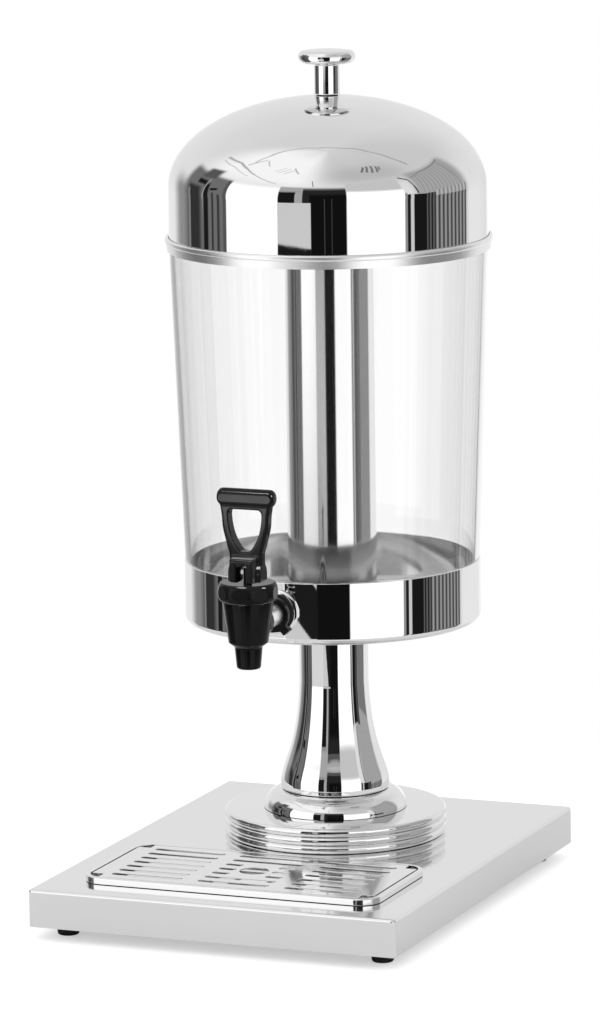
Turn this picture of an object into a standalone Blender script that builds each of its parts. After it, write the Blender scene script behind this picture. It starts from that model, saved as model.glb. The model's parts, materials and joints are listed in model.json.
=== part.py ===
"""Cold drink dispenser: base and column carry a clear vessel with an ice tube, a domed lid and a lever tap.

Metres, +Z up. The origin is on the floor under the middle of the base, and the tap faces -Y.
Named sizes come first, then the heights and places worked out from them, then one function for each piece.
"""

import math

import bmesh
import bpy
from mathutils import Matrix

MM = 0.001

# Clearances and cutting
GAP = 0.3 * MM
OVERRUN = 3 * MM
MERGE = 0.001 * MM

# How many sides a round piece has, by its size
LARGE_SIDES = 36
MIDDLE_SIDES = 24
SMALL_SIDES = 16
TINY_SIDES = 10
ARC_STEPS = 4
INNER_ARC_STEPS = 2
END_ARC_STEPS = 3
EDGE_STEPS = 2
HEX_SIDES = 6

# Edges sharper than this angle stay sharp, this bevel profile is round, and the turn is in degrees
SMOOTH_ANGLE = math.radians(35)
ROUND_PROFILE = 0.5
QUARTER_TURN = 90

# Base: a folded steel pan, open below, with a turned-in lip that carries the feet
BASE_WIDTH = 260 * MM
BASE_DEPTH = 347 * MM
BASE_HEIGHT = 25.4 * MM
BASE_SHEET = 1.2 * MM
BASE_CORNER = 3 * MM
BASE_EDGE = 1.2 * MM
BASE_LIP = 32 * MM
STIFFENER_SIDE = 120 * MM
STIFFENER_THICKNESS = 2.5 * MM
STIFFENER_CORNER = 6 * MM

# Feet and what fastens them
FOOT_HEIGHT = 9.2 * MM
FOOT_RADIUS = 8 * MM
FOOT_TAPER = 0.7 * MM
FOOT_ROUNDING = 1.6 * MM
FOOT_INSET_X = 18 * MM
FOOT_INSET_Y = 25 * MM
FOOT_RECESS_RADIUS = 4.3 * MM
FOOT_RECESS_DEPTH = 4 * MM
FOOT_SCREW_RADIUS = 2 * MM
FOOT_SCREW_HEAD_RADIUS = 3.6 * MM
FOOT_SCREW_HEAD_HEIGHT = 2.4 * MM
FOOT_SCREW_END = 2 * MM
FOOT_NUT_FLATS = 7 * MM
FOOT_NUT_HEIGHT = 3.2 * MM

# Column: ridged disc, bulged foot and trumpet, pulled together by a tie rod
COLUMN_TO_FRONT = 227 * MM
PLINTH_RADIUS = 76.1 * MM
PLINTH_HEIGHT = 17.3 * MM
PLINTH_RIDGES = 3
PLINTH_GROOVE = 2.2 * MM
PLINTH_WALL = 2 * MM
BULGE_RADIUS = 49 * MM
BULGE_TOP_RADIUS = 36.6 * MM
BULGE_HEIGHT = 13 * MM
BULGE_WALL = 1.5 * MM
BULGE_HOLLOW_SHARE = 1 / 3
COLUMN_RADIUS = 23.7 * MM
COLUMN_BELL_RADIUS = 37.3 * MM
COLUMN_LIP_HEIGHT = 3.2 * MM
COLUMN_LIP_STEP = 1.1 * MM
COLUMN_BELL_HEIGHT = 71 * MM
COLUMN_WALL = 1.2 * MM
# Height and flare of the bell, as shares of its height and of what it widens by
BELL_SHARES = (
    (0.0, 1.0),
    (0.08, 0.96),
    (0.17, 0.835),
    (0.27, 0.655),
    (0.38, 0.47),
    (0.5, 0.31),
    (0.65, 0.165),
    (0.82, 0.06),
    (1.0, 0.0),
)
TIE_ROD_RADIUS = 4 * MM
TIE_ROD_END = 4 * MM
TIE_ROD_HOLE_PLAY = 1 * MM
TIE_WASHER_RADIUS = 12 * MM
TIE_WASHER_THICKNESS = 2 * MM
TIE_NUT_FLATS = 13 * MM
TIE_NUT_HEIGHT = 6.5 * MM
BOSS_HEIGHT = 12 * MM
BOSS_ROOF = 2 * MM

# Cup that holds the foot of the vessel
CUP_BOTTOM = 183.5 * MM
CUP_RADIUS = 101 * MM
CUP_HEIGHT = 42.5 * MM
CUP_SHEET = 1 * MM
CUP_CORNER = 5 * MM

# Vessel and its gasket
GASKET_INSET = 15.7 * MM
GASKET_WIDTH = 22 * MM
GASKET_THICKNESS = 2.5 * MM
VESSEL_SHOULDER_INSET = 0.5 * MM
VESSEL_FLARE = 7.7 * MM
VESSEL_RISE = 261 * MM
VESSEL_WALL = 3 * MM
VESSEL_FLOOR = 3.5 * MM
VESSEL_CORNER = 5 * MM
VESSEL_INNER_CORNER = 2 * MM
VESSEL_SHOULDER_HEIGHT = 0.9 * MM
SOCKET_WALL = 2.5 * MM
SOCKET_HEIGHT = 8 * MM

# Ice tube and the seal round its foot
ICE_TUBE_RADIUS = 30.3 * MM
ICE_TUBE_WALL = 0.8 * MM
ICE_TUBE_FLOOR = 1.2 * MM
ICE_TUBE_PROUD = 6.5 * MM
ICE_TUBE_BEAD = 0.9 * MM
ICE_TUBE_CORNER = 2.5 * MM
ICE_SEAL_WIDTH = 2.7 * MM
ICE_SEAL_HEIGHT = 5 * MM

# Lid: dome, satin hoop round its edge, knob with its seal, washer and screw
DOME_OVERHANG = 0.2 * MM
DOME_SHEET = 0.8 * MM
DOME_SKIRT = 37.5 * MM
DOME_RISE = 60.6 * MM
DOME_STEPS = 10
DOME_INNER_STEPS = 5
HOOP_DROP = 6.1 * MM
HOOP_HEIGHT = 9 * MM
HOOP_BOTTOM_WALL = 0.7 * MM
HOOP_NECK_WALL = 1.3 * MM
HOOP_BEAD_HEIGHT = 3.8 * MM
HOOP_BEAD_REACH = 2.3 * MM
KNOB_SKIRT_WALL = 1.2 * MM
KNOB_SEAL_THICKNESS = 0.8 * MM
KNOB_STEM_RADIUS = 8.6 * MM
KNOB_STEM_FLARE = 0.7 * MM
KNOB_STEM_HEIGHT = 19.4 * MM
KNOB_NECK = 1.4 * MM
KNOB_RADIUS = 19.5 * MM
KNOB_HEIGHT = 11.3 * MM
KNOB_EDGE = 4.4 * MM
KNOB_EDGE_START = -80
KNOB_CROWN = 1 * MM
KNOB_THREAD_DEPTH = 12 * MM
LID_SCREW_RADIUS = 2.5 * MM
LID_SCREW_REACH = 10 * MM
LID_SCREW_HEAD_RADIUS = 4.6 * MM
LID_SCREW_HEAD_HEIGHT = 2.8 * MM
LID_WASHER_RADIUS = 8 * MM
LID_WASHER_THICKNESS = 1.2 * MM

# Tap: place, body, spout and shank
TAP_PROUD = 51.3 * MM
SHANK_RISE = 22.5 * MM
SHANK_RADIUS = 7.95 * MM
SHANK_BORE = 4.5 * MM
SHANK_START = 13.4 * MM
SHANK_PAST_NUT = 2.7 * MM
SHANK_PLAY = 0.35 * MM
TAP_BOSS_RADIUS = 10.6 * MM
TAP_BOSS_REACH = 20 * MM
BODY_ABOVE_SHANK = 17.2 * MM
BODY_TOP_RADIUS = 17 * MM
BODY_HEIGHT = 27.7 * MM
BODY_FOOT_RADIUS = 13.2 * MM
BODY_CHAMFER = 3 * MM
BODY_WALL = 2.8 * MM
BODY_SEAT_RISE = 3 * MM
BODY_NECK_RADIUS = 15.6 * MM
BODY_NECK_HEIGHT = 8.3 * MM
SPOUT_TOP_RADIUS = 9.3 * MM
SPOUT_TIP_RADIUS = 8.1 * MM
SPOUT_LENGTH = 17.7 * MM
SPOUT_ROUNDING = 1.5 * MM
OUTLET_RADIUS = 5.4 * MM

# Tap: bonnet nut with flats cut across its bulge
BONNET_HEIGHT = 12.5 * MM
BONNET_FOOT_RADIUS = 17.2 * MM
BONNET_BULGE_RADIUS = 20 * MM
BONNET_BULGE_SHARE = 0.44
BONNET_TOP_RADIUS = 17.6 * MM
BONNET_SIDES = 8
BONNET_FLAT_INSET = 0.8 * MM
BONNET_TURN = math.radians(4.7)
BONNET_ROOF = 4.2 * MM

# Tap: stem, seat cup and spring
STEM_RADIUS = 2.9 * MM
STEM_FLANGE_RADIUS = 6.2 * MM
STEM_FLANGE_THICKNESS = 1.6 * MM
STEM_ABOVE_PIN = 3.4 * MM
SEAT_CUP_RADIUS = 8.2 * MM
SEAT_CUP_NECK_RADIUS = 5 * MM
SEAT_CUP_HEIGHT = 8.4 * MM
SEAT_CUP_SOLE = 3 * MM
SPRING_RADIUS = 4.9 * MM
SPRING_WIRE_RADIUS = 0.5 * MM
SPRING_TURNS = 6
SPRING_POINTS_PER_TURN = 9
SPRING_ROUNDNESS = 1

# Tap: lever with its cam and its handle, and the pin it turns on
PIN_ABOVE_BONNET = 6.3 * MM
PIN_RADIUS = 1.5 * MM
PIN_START = 10.7 * MM
PIN_END = 8.3 * MM
CAM_LIFT_PER_RADIAN = 8 * MM
CAM_SWEEP = math.radians(32)
CAM_STEPS = 4
LEVER_PAD_WIDTH = 16.2 * MM
LEVER_TOP = 10.6 * MM
LEVER_CORNER = 1.5 * MM
LEVER_SLOT_WIDTH = 7.6 * MM
LEVER_SLOT_TOP = 7.3 * MM
LEVER_SLOT_BACK = 5.2 * MM
HUB_WIDTH = 23 * MM
HUB_RADIUS = 6.6 * MM
HUB_STEP = 0.4 * MM
LOOP_HALF_WIDTH = 18 * MM
LOOP_DEPTH = 8.4 * MM
LOOP_EDGE = 1.5 * MM
LOOP_TOP = 46 * MM
LOOP_OPENING_HALF_WIDTH = 11.9 * MM
LOOP_OPENING_BOTTOM = 14.5 * MM
LOOP_OPENING_TOP = 42.4 * MM
# The loop's outer edge, as shares of its half width and of its height above the pin
LOOP_EDGE_SHARES = (
    (0.64, 0.08),
    (0.645, 0.275),
    (0.7, 0.35),
    (0.79, 0.485),
    (0.895, 0.66),
    (0.93, 0.84),
    (1.0, 1.0),
)
# The opening's edge, as shares of its half width and of the way from its bottom to its top
LOOP_OPENING_SHARES = (
    (0.26, 0.02),
    (0.47, 0.11),
    (0.75, 0.33),
    (0.91, 0.55),
    (1.0, 0.84),
    (0.95, 0.95),
    (0.82, 1.0),
)
BAR_HEIGHT = 50 * MM
BAR_RADIUS = 6 * MM
BAR_LENGTH = 40.6 * MM
BAR_ROUNDING = 4 * MM
BAR_FACE = 4.7 * MM

# Tap: what clamps and seals the shank in the walls of cup and vessel
ESCUTCHEON_RADIUS = 15.3 * MM
ESCUTCHEON_PROUD = 2 * MM
OUTER_SEAL_RADIUS = 13 * MM
OUTER_SEAL_THICKNESS = 2 * MM
OUTER_NUT_RADIUS = 12 * MM
OUTER_NUT_HEIGHT = 6.5 * MM
OUTER_NUT_LUG_SPAN = 32 * MM
OUTER_NUT_LUG_WIDTH = 5.5 * MM
OUTER_NUT_TURN = math.radians(-48)
INNER_SEAL_RADIUS = 12 * MM
INNER_SEAL_THICKNESS = 2.4 * MM
INNER_NUT_FLATS = 20 * MM
INNER_NUT_HEIGHT = 5.5 * MM

# Drip tray: pan with a thick rolled rim, and a grid with turned-down sides
TRAY_WIDTH = 210 * MM
TRAY_DEPTH = 104 * MM
TRAY_HEIGHT = 4.4 * MM
TRAY_CORNER = 15 * MM
TRAY_RIM = 3.2 * MM
TRAY_RIM_EDGE = 1.2 * MM
TRAY_FLOOR = 0.8 * MM
TRAY_TO_FRONT = 27 * MM
GRID_PLAY = 1.2 * MM
GRID_SHEET = 0.8 * MM
GRID_NOTCH = 8.5 * MM
SLOT_WIDTH = 5.6 * MM
SLOT_LENGTH = 50.6 * MM
SLOT_PITCH = 12.3 * MM
SLOT_ROWS = 7
SLOT_COLUMN_PITCH = 61.8 * MM
SHORT_SLOT_LENGTH = 12.4 * MM
SHORT_SLOT_ROWS = 1
FINGER_HOLE_RADIUS = 9.9 * MM

# Heights, from the floor up
BASE_TOP = FOOT_HEIGHT + BASE_HEIGHT
PLINTH_Z = BASE_TOP + GAP
BULGE_Z = PLINTH_Z + PLINTH_HEIGHT + GAP
COLUMN_Z = BULGE_Z + BULGE_HEIGHT + GAP
COLUMN_TOP = CUP_BOTTOM - GAP
GASKET_Z = CUP_BOTTOM + CUP_SHEET + GAP
VESSEL_Z = GASKET_Z + GASKET_THICKNESS + GAP
VESSEL_SHOULDER_Z = CUP_BOTTOM + CUP_HEIGHT + GAP
VESSEL_TOP = CUP_BOTTOM + VESSEL_RISE
VESSEL_FLOOR_TOP = VESSEL_Z + VESSEL_FLOOR
ICE_TUBE_Z = VESSEL_FLOOR_TOP + GAP
ICE_TUBE_TOP = VESSEL_TOP + ICE_TUBE_PROUD
LID_Z = VESSEL_TOP + GAP
HOOP_BOTTOM = VESSEL_TOP - HOOP_DROP
DOME_SKIRT_TOP = VESSEL_TOP + DOME_SKIRT
DOME_TOP = DOME_SKIRT_TOP + DOME_RISE
KNOB_Z = DOME_TOP + GAP
KNOB_RECESS_RADIUS = KNOB_STEM_RADIUS - KNOB_SKIRT_WALL
KNOB_RECESS_TOP = KNOB_Z + KNOB_SEAL_THICKNESS + GAP
SHANK_Z = CUP_BOTTOM + SHANK_RISE
BODY_TOP = SHANK_Z + BODY_ABOVE_SHANK
BODY_FOOT = BODY_TOP - BODY_HEIGHT
BODY_SEAT = BODY_FOOT + BODY_SEAT_RISE
SPOUT_BOTTOM = BODY_FOOT - SPOUT_LENGTH
BONNET_Z = BODY_TOP + GAP
BONNET_TOP = BONNET_Z + BONNET_HEIGHT
PIN_Z = BONNET_TOP + PIN_ABOVE_BONNET
SEAT_CUP_Z = BODY_SEAT + GAP
SPRING_TOP = BONNET_TOP - BONNET_ROOF - GAP
TRAY_Z = BASE_TOP + GAP
STIFFENER_Z = BASE_TOP - BASE_SHEET - GAP - STIFFENER_THICKNESS
TIE_WASHER_Z = STIFFENER_Z - GAP - TIE_WASHER_THICKNESS
TIE_NUT_Z = TIE_WASHER_Z - GAP - TIE_NUT_HEIGHT
BOSS_Z = COLUMN_TOP - BOSS_HEIGHT

# Places across the object
COLUMN_Y = COLUMN_TO_FRONT - BASE_DEPTH / 2
TRAY_Y = TRAY_TO_FRONT + TRAY_DEPTH / 2 - BASE_DEPTH / 2
TAP_REACH = CUP_RADIUS + TAP_PROUD
TAP_Y = COLUMN_Y - TAP_REACH
FOOT_X = BASE_WIDTH / 2 - FOOT_INSET_X
FOOT_Y = BASE_DEPTH / 2 - FOOT_INSET_Y
VESSEL_CUP_RADIUS = CUP_RADIUS - CUP_SHEET - GAP
VESSEL_INNER_RADIUS = VESSEL_CUP_RADIUS - VESSEL_WALL
VESSEL_SHOULDER_RADIUS = CUP_RADIUS - VESSEL_SHOULDER_INSET
VESSEL_TOP_RADIUS = VESSEL_SHOULDER_RADIUS + VESSEL_FLARE
GASKET_RADIUS = VESSEL_CUP_RADIUS - GASKET_INSET
DOME_RADIUS = VESSEL_TOP_RADIUS + DOME_OVERHANG
SOCKET_RADIUS = ICE_TUBE_RADIUS + GAP + ICE_SEAL_WIDTH + GAP
TIE_HOLE_RADIUS = TIE_ROD_RADIUS + TIE_ROD_HOLE_PLAY
SHANK_HOLE_RADIUS = SHANK_RADIUS + SHANK_PLAY
ESCUTCHEON_FRONT = CUP_RADIUS + GAP + ESCUTCHEON_PROUD
OUTER_SEAL_FRONT = ESCUTCHEON_FRONT + GAP + OUTER_SEAL_THICKNESS
INNER_SEAL_BACK = VESSEL_INNER_RADIUS - GAP - INNER_SEAL_THICKNESS
INNER_NUT_BACK = INNER_SEAL_BACK - GAP - INNER_NUT_HEIGHT
SHANK_END_REACH = INNER_NUT_BACK - SHANK_PAST_NUT

# Plain looks, each with colour, metallic value and roughness
POLISHED = ((0.86, 0.86, 0.87, 1), 1.0, 0.06)
SATIN = ((0.72, 0.72, 0.73, 1), 1.0, 0.32)
ZINC = ((0.6, 0.6, 0.58, 1), 1.0, 0.4)
CLEAR = ((0.93, 0.95, 0.96, 0.25), 0.0, 0.04)
BLACK_PLASTIC = ((0.012, 0.012, 0.013, 1), 0.0, 0.22)
BLACK_RUBBER = ((0.02, 0.02, 0.02, 1), 0.0, 0.6)
SILICONE = ((0.8, 0.8, 0.78, 1), 0.0, 0.5)


# Scene and object helpers


def clear_scene():
    for old in list(bpy.data.objects):
        bpy.data.objects.remove(old, do_unlink=True)


def material(name, look):
    colour, metallic, roughness = look
    made = bpy.data.materials.new(name)
    made.use_nodes = True
    shader = made.node_tree.nodes["Principled BSDF"]
    shader.inputs["Base Color"].default_value = colour
    shader.inputs["Alpha"].default_value = colour[3]
    shader.inputs["Metallic"].default_value = metallic
    shader.inputs["Roughness"].default_value = roughness
    return made


def empty(name, at, parent=None):
    """An axis or joint that pieces hang on; `at` is counted from the parent."""
    made = bpy.data.objects.new(name, None)
    made.location = at
    made.parent = parent
    bpy.context.scene.collection.objects.link(made)
    return made


def add(name, bm, look, parent=None, at=(0, 0, 0)):
    """Turns a bmesh into an object; without a look it is a cutter, which isn't part of the model."""
    bmesh.ops.remove_doubles(bm, verts=bm.verts, dist=MERGE)
    bmesh.ops.recalc_face_normals(bm, faces=bm.faces)
    mesh = bpy.data.meshes.new(name)
    bm.to_mesh(mesh)
    bm.free()
    made = bpy.data.objects.new(name, mesh)
    made.location = at
    made.parent = parent
    bpy.context.scene.collection.objects.link(made)
    if look is None:
        made.hide_render = True
        made.display_type = "WIRE"
    else:
        mesh.materials.append(material(name, look))
        mesh.shade_smooth()
        mesh.set_sharp_from_angle(angle=SMOOTH_ANGLE)
    return made


def combine(obj, cutter, operation="DIFFERENCE"):
    step = obj.modifiers.new(cutter.name, "BOOLEAN")
    step.operation = operation
    step.object = cutter


# Shapes


def arc(centre_r, centre_z, radius, start, end, steps=ARC_STEPS):
    """Points of a round stretch in a profile, from start to end in degrees from the outward direction."""
    turn = [math.radians(start + (end - start) * i / steps) for i in range(steps + 1)]
    return [(centre_r + radius * math.cos(a), centre_z + radius * math.sin(a)) for a in turn]


def turned(profile, sides):
    """A closed profile of (radius, height) points spun about Z."""
    bm = bmesh.new()
    verts = [bm.verts.new((r, 0, z)) for r, z in profile]
    edges = [bm.edges.new((a, b)) for a, b in zip(verts, verts[1:] + verts[:1])]
    for edge in [e for e in edges if all(v.co.x == 0 for v in e.verts)]:
        bm.edges.remove(edge)
    bmesh.ops.spin(
        bm, geom=bm.verts[:] + bm.edges[:], cent=(0, 0, 0), axis=(0, 0, 1), angle=math.tau, steps=sides
    )
    return bm


def disc(radius, low, high, sides, hole=0.0):
    """A round plate, rod or ring that stands on Z."""
    if hole:
        return turned([(hole, low), (radius, low), (radius, high), (hole, high)], sides)
    return turned([(0, low), (radius, low), (radius, high), (0, high)], sides)


def prism(outline, low, high):
    """A flat outline of (x, y) points raised from low to high."""
    bm = bmesh.new()
    face = bm.faces.new([bm.verts.new((x, y, low)) for x, y in outline])
    raised = bmesh.ops.extrude_face_region(bm, geom=[face])["geom"]
    top = [v for v in raised if isinstance(v, bmesh.types.BMVert)]
    bmesh.ops.translate(bm, verts=top, vec=(0, 0, high - low))
    return bm


def rounded_rectangle(width, depth, corner, steps=ARC_STEPS):
    points = []
    for quarter, (sx, sy) in enumerate(((1, 1), (-1, 1), (-1, -1), (1, -1))):
        start = quarter * QUARTER_TURN
        x = sx * (width / 2 - corner)
        y = sy * (depth / 2 - corner)
        points += arc(x, y, corner, start, start + QUARTER_TURN, steps)
    return points


def regular(sides, flats):
    """A polygon with that distance across its flats, and a flat towards -Y."""
    radius = flats / 2 / math.cos(math.pi / sides)
    turn = [math.tau * (i + 0.5) / sides - math.pi / 2 for i in range(sides)]
    return [(radius * math.cos(a), radius * math.sin(a)) for a in turn]


def softened(bm, height, width):
    """Bevels the rim of the flat face at that height."""
    rim = [e for e in bm.edges if all(abs(v.co.z - height) < MERGE for v in e.verts)]
    bmesh.ops.bevel(bm, geom=rim, offset=width, segments=EDGE_STEPS, profile=ROUND_PROFILE, affect="EDGES")
    return bm


def turned_by(bm, angle, axis):
    bmesh.ops.rotate(bm, verts=bm.verts, cent=(0, 0, 0), matrix=Matrix.Rotation(angle, 3, axis))
    return bm


def laid(bm):
    """Lays a shape that stands on Z along Y, so that its height runs forwards, towards -Y."""
    return turned_by(bm, math.pi / 2, "X")


def along_x(bm):
    return turned_by(bm, math.pi / 2, "Y")


def moved(bm, x=0.0, y=0.0, z=0.0):
    bmesh.ops.translate(bm, verts=bm.verts, vec=(x, y, z))
    return bm


def merged(parts):
    """Several separate shapes in one bmesh, for a cutter that cuts many places at once."""
    whole = bmesh.new()
    for part in parts:
        mesh = bpy.data.meshes.new("shape")
        bmesh.ops.recalc_face_normals(part, faces=part.faces)
        part.to_mesh(mesh)
        part.free()
        whole.from_mesh(mesh)
        bpy.data.meshes.remove(mesh)
    return whole


# Base and feet


def base_pan():
    bottom = FOOT_HEIGHT
    outer = prism(rounded_rectangle(BASE_WIDTH, BASE_DEPTH, BASE_CORNER), bottom, BASE_TOP)
    pan = add("base_pan", softened(outer, BASE_TOP, BASE_EDGE), POLISHED)
    inner_width = BASE_WIDTH - 2 * BASE_SHEET
    inner_depth = BASE_DEPTH - 2 * BASE_SHEET
    inner_corner = BASE_CORNER - BASE_SHEET
    hollow = prism(
        rounded_rectangle(inner_width, inner_depth, inner_corner), bottom + BASE_SHEET, BASE_TOP - BASE_SHEET
    )
    mouth_outline = rounded_rectangle(inner_width - 2 * BASE_LIP, inner_depth - 2 * BASE_LIP, BASE_CORNER)
    mouth = prism(mouth_outline, bottom - OVERRUN, bottom + BASE_SHEET + OVERRUN)
    rod_hole = disc(TIE_HOLE_RADIUS, BASE_TOP - BASE_SHEET - OVERRUN, BASE_TOP + OVERRUN, TINY_SIDES)
    hole_low = bottom - OVERRUN
    hole_high = bottom + BASE_SHEET + OVERRUN
    holes = [
        moved(disc(FOOT_SCREW_RADIUS + GAP, hole_low, hole_high, TINY_SIDES), x, y)
        for _, x, y in foot_places()
    ]
    combine(pan, add("cut_base_hollow", hollow, None))
    combine(pan, add("cut_base_mouth", mouth, None))
    combine(pan, add("cut_base_rod_hole", moved(rod_hole, y=COLUMN_Y), None))
    combine(pan, add("cut_base_foot_holes", merged(holes), None))


def base_stiffener(column):
    outline = rounded_rectangle(STIFFENER_SIDE, STIFFENER_SIDE, STIFFENER_CORNER)
    top = STIFFENER_Z + STIFFENER_THICKNESS
    plate = add("base_stiffener", prism(outline, STIFFENER_Z, top), ZINC, column)
    hole = disc(TIE_HOLE_RADIUS, STIFFENER_Z - OVERRUN, top + OVERRUN, TINY_SIDES)
    combine(plate, add("cut_stiffener_hole", hole, None, column))


def foot_places():
    """Each foot's name and place on the floor."""
    for end, y in (("front", -FOOT_Y), ("rear", FOOT_Y)):
        for side, x in (("left", -FOOT_X), ("right", FOOT_X)):
            yield f"{end}_{side}", x, y


def foot_profile():
    tip = FOOT_RADIUS - FOOT_TAPER
    rounding = arc(tip - FOOT_ROUNDING, FOOT_ROUNDING, FOOT_ROUNDING, -90, 0)
    top = FOOT_HEIGHT - GAP
    bore = FOOT_SCREW_RADIUS + GAP
    return [(FOOT_RECESS_RADIUS, 0)] + rounding + [
        (FOOT_RADIUS, top),
        (bore, top),
        (bore, FOOT_RECESS_DEPTH),
        (FOOT_RECESS_RADIUS, FOOT_RECESS_DEPTH),
    ]


def foot_screw_profile():
    head_top = FOOT_RECESS_DEPTH - GAP
    tip = FOOT_HEIGHT + BASE_SHEET + GAP + FOOT_NUT_HEIGHT + FOOT_SCREW_END
    return [
        (0, head_top - FOOT_SCREW_HEAD_HEIGHT),
        (FOOT_SCREW_HEAD_RADIUS, head_top - FOOT_SCREW_HEAD_HEIGHT),
        (FOOT_SCREW_HEAD_RADIUS, head_top),
        (FOOT_SCREW_RADIUS, head_top),
        (FOOT_SCREW_RADIUS, tip),
        (0, tip),
    ]


def feet():
    nut_z = FOOT_HEIGHT + BASE_SHEET + GAP
    for place, x, y in foot_places():
        corner = empty(f"corner_{place}", (x, y, 0))
        add(f"foot_{place}", turned(foot_profile(), SMALL_SIDES), BLACK_RUBBER, corner)
        add(f"foot_screw_{place}", turned(foot_screw_profile(), TINY_SIDES), ZINC, corner)
        nut = prism(regular(HEX_SIDES, FOOT_NUT_FLATS), 0, FOOT_NUT_HEIGHT)
        made = add(f"foot_nut_{place}", nut, ZINC, corner, (0, 0, nut_z))
        bore = disc(FOOT_SCREW_RADIUS + GAP, -OVERRUN, FOOT_NUT_HEIGHT + OVERRUN, TINY_SIDES)
        combine(made, add(f"cut_foot_nut_{place}", bore, None, corner, (0, 0, nut_z)))


# Column


def plinth_disc(column):
    ridge = PLINTH_HEIGHT / PLINTH_RIDGES
    valley = PLINTH_RADIUS - PLINTH_GROOVE
    outer = []
    for i in range(PLINTH_RIDGES):
        middle = (i + 0.5) * ridge
        for step in range(ARC_STEPS + 1):
            angle = math.pi * (step / ARC_STEPS - 0.5)
            outer.append((valley + PLINTH_GROOVE * math.cos(angle), middle + ridge / 2 * math.sin(angle)))
    inner = valley - PLINTH_WALL
    roof = PLINTH_HEIGHT - PLINTH_WALL
    hollow = [(TIE_HOLE_RADIUS, PLINTH_HEIGHT), (TIE_HOLE_RADIUS, roof), (inner, roof)]
    profile = [(inner, 0)] + outer + hollow
    add("plinth_disc", turned(profile, LARGE_SIDES), POLISHED, column, (0, 0, PLINTH_Z))


def column_foot(column):
    reach = BULGE_RADIUS - BULGE_TOP_RADIUS
    bulge = []
    steps = ARC_STEPS + INNER_ARC_STEPS
    for step in range(steps + 1):
        angle = math.pi / 2 * step / steps
        bulge.append((BULGE_TOP_RADIUS + reach * math.cos(angle), BULGE_HEIGHT * math.sin(angle)))
    roof = BULGE_HEIGHT - BULGE_WALL
    hollow = [
        (TIE_HOLE_RADIUS, BULGE_HEIGHT),
        (TIE_HOLE_RADIUS, roof),
        (BULGE_TOP_RADIUS - BULGE_WALL, roof),
        (BULGE_RADIUS - BULGE_WALL - reach * BULGE_HOLLOW_SHARE, roof / 2),
        (BULGE_RADIUS - BULGE_WALL, 0),
    ]
    add("column_foot", turned(bulge + hollow, LARGE_SIDES), POLISHED, column, (0, 0, BULGE_Z))


def trumpet():
    """The column's outline from its lip to its top, as radii and heights above its lower edge."""
    lip = (COLUMN_BELL_RADIUS - COLUMN_LIP_STEP, 0)
    flare = COLUMN_BELL_RADIUS - COLUMN_RADIUS
    bell = [
        (COLUMN_RADIUS + flare * wide, COLUMN_LIP_HEIGHT + COLUMN_BELL_HEIGHT * high)
        for high, wide in BELL_SHARES
    ]
    return [lip, (COLUMN_BELL_RADIUS, COLUMN_LIP_STEP)] + bell + [(COLUMN_RADIUS, COLUMN_TOP - COLUMN_Z)]


def column_tube(column):
    outer = trumpet()
    inner = [(r - COLUMN_WALL, z) for r, z in outer if z == 0 or z >= COLUMN_LIP_HEIGHT]
    add("column", turned(outer + inner[::-1], MIDDLE_SIDES), POLISHED, column, (0, 0, COLUMN_Z))


def tie_rod(column):
    top = BOSS_Z + BOSS_HEIGHT - BOSS_ROOF - GAP
    rod = disc(TIE_ROD_RADIUS, TIE_NUT_Z - TIE_ROD_END, top, TINY_SIDES)
    add("tie_rod", rod, ZINC, column)
    washer = disc(TIE_WASHER_RADIUS, 0, TIE_WASHER_THICKNESS, SMALL_SIDES, TIE_ROD_RADIUS + GAP)
    add("tie_rod_washer", washer, ZINC, column, (0, 0, TIE_WASHER_Z))
    hexagon = prism(regular(HEX_SIDES, TIE_NUT_FLATS), 0, TIE_NUT_HEIGHT)
    nut = add("tie_rod_nut", hexagon, ZINC, column, (0, 0, TIE_NUT_Z))
    bore = disc(TIE_ROD_RADIUS + GAP, -OVERRUN, TIE_NUT_HEIGHT + OVERRUN, TINY_SIDES)
    combine(nut, add("cut_tie_nut", bore, None, column, (0, 0, TIE_NUT_Z)))


def cup_boss(column):
    """The threaded disc under the cup's floor, which the tie rod pulls down on."""
    radius = COLUMN_RADIUS - COLUMN_WALL - GAP
    bore = TIE_ROD_RADIUS + GAP
    roof = BOSS_HEIGHT - BOSS_ROOF
    profile = [(bore, 0), (radius, 0), (radius, BOSS_HEIGHT), (0, BOSS_HEIGHT), (0, roof), (bore, roof)]
    add("cup_boss", turned(profile, MIDDLE_SIDES), ZINC, column, (0, 0, BOSS_Z))


# Cup, vessel and ice tube


def shank_hole(name, column, low_reach, high_reach):
    """A cutter along the tap's shank, between two distances from the column's axis."""
    hole = laid(disc(SHANK_HOLE_RADIUS, low_reach, high_reach, SMALL_SIDES))
    return add(name, hole, None, column, (0, 0, SHANK_Z))


def base_cup(column):
    inner = CUP_RADIUS - CUP_SHEET
    inner_corner = CUP_CORNER - CUP_SHEET
    profile = (
        [(0, 0)]
        + arc(CUP_RADIUS - CUP_CORNER, CUP_CORNER, CUP_CORNER, -90, 0)
        + [(CUP_RADIUS, CUP_HEIGHT), (inner, CUP_HEIGHT)]
        + arc(CUP_RADIUS - CUP_CORNER, CUP_CORNER, inner_corner, 0, -90, INNER_ARC_STEPS)
        + [(0, CUP_SHEET)]
    )
    cup = add("base_cup", turned(profile, LARGE_SIDES), POLISHED, column, (0, 0, CUP_BOTTOM))
    combine(cup, shank_hole("cut_cup_hole", column, inner - CUP_CORNER, CUP_RADIUS + OVERRUN))


def vessel_gasket(column):
    ring = disc(GASKET_RADIUS, 0, GASKET_THICKNESS, MIDDLE_SIDES, GASKET_RADIUS - GASKET_WIDTH)
    add("vessel_gasket", ring, SILICONE, column, (0, 0, GASKET_Z))


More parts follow.
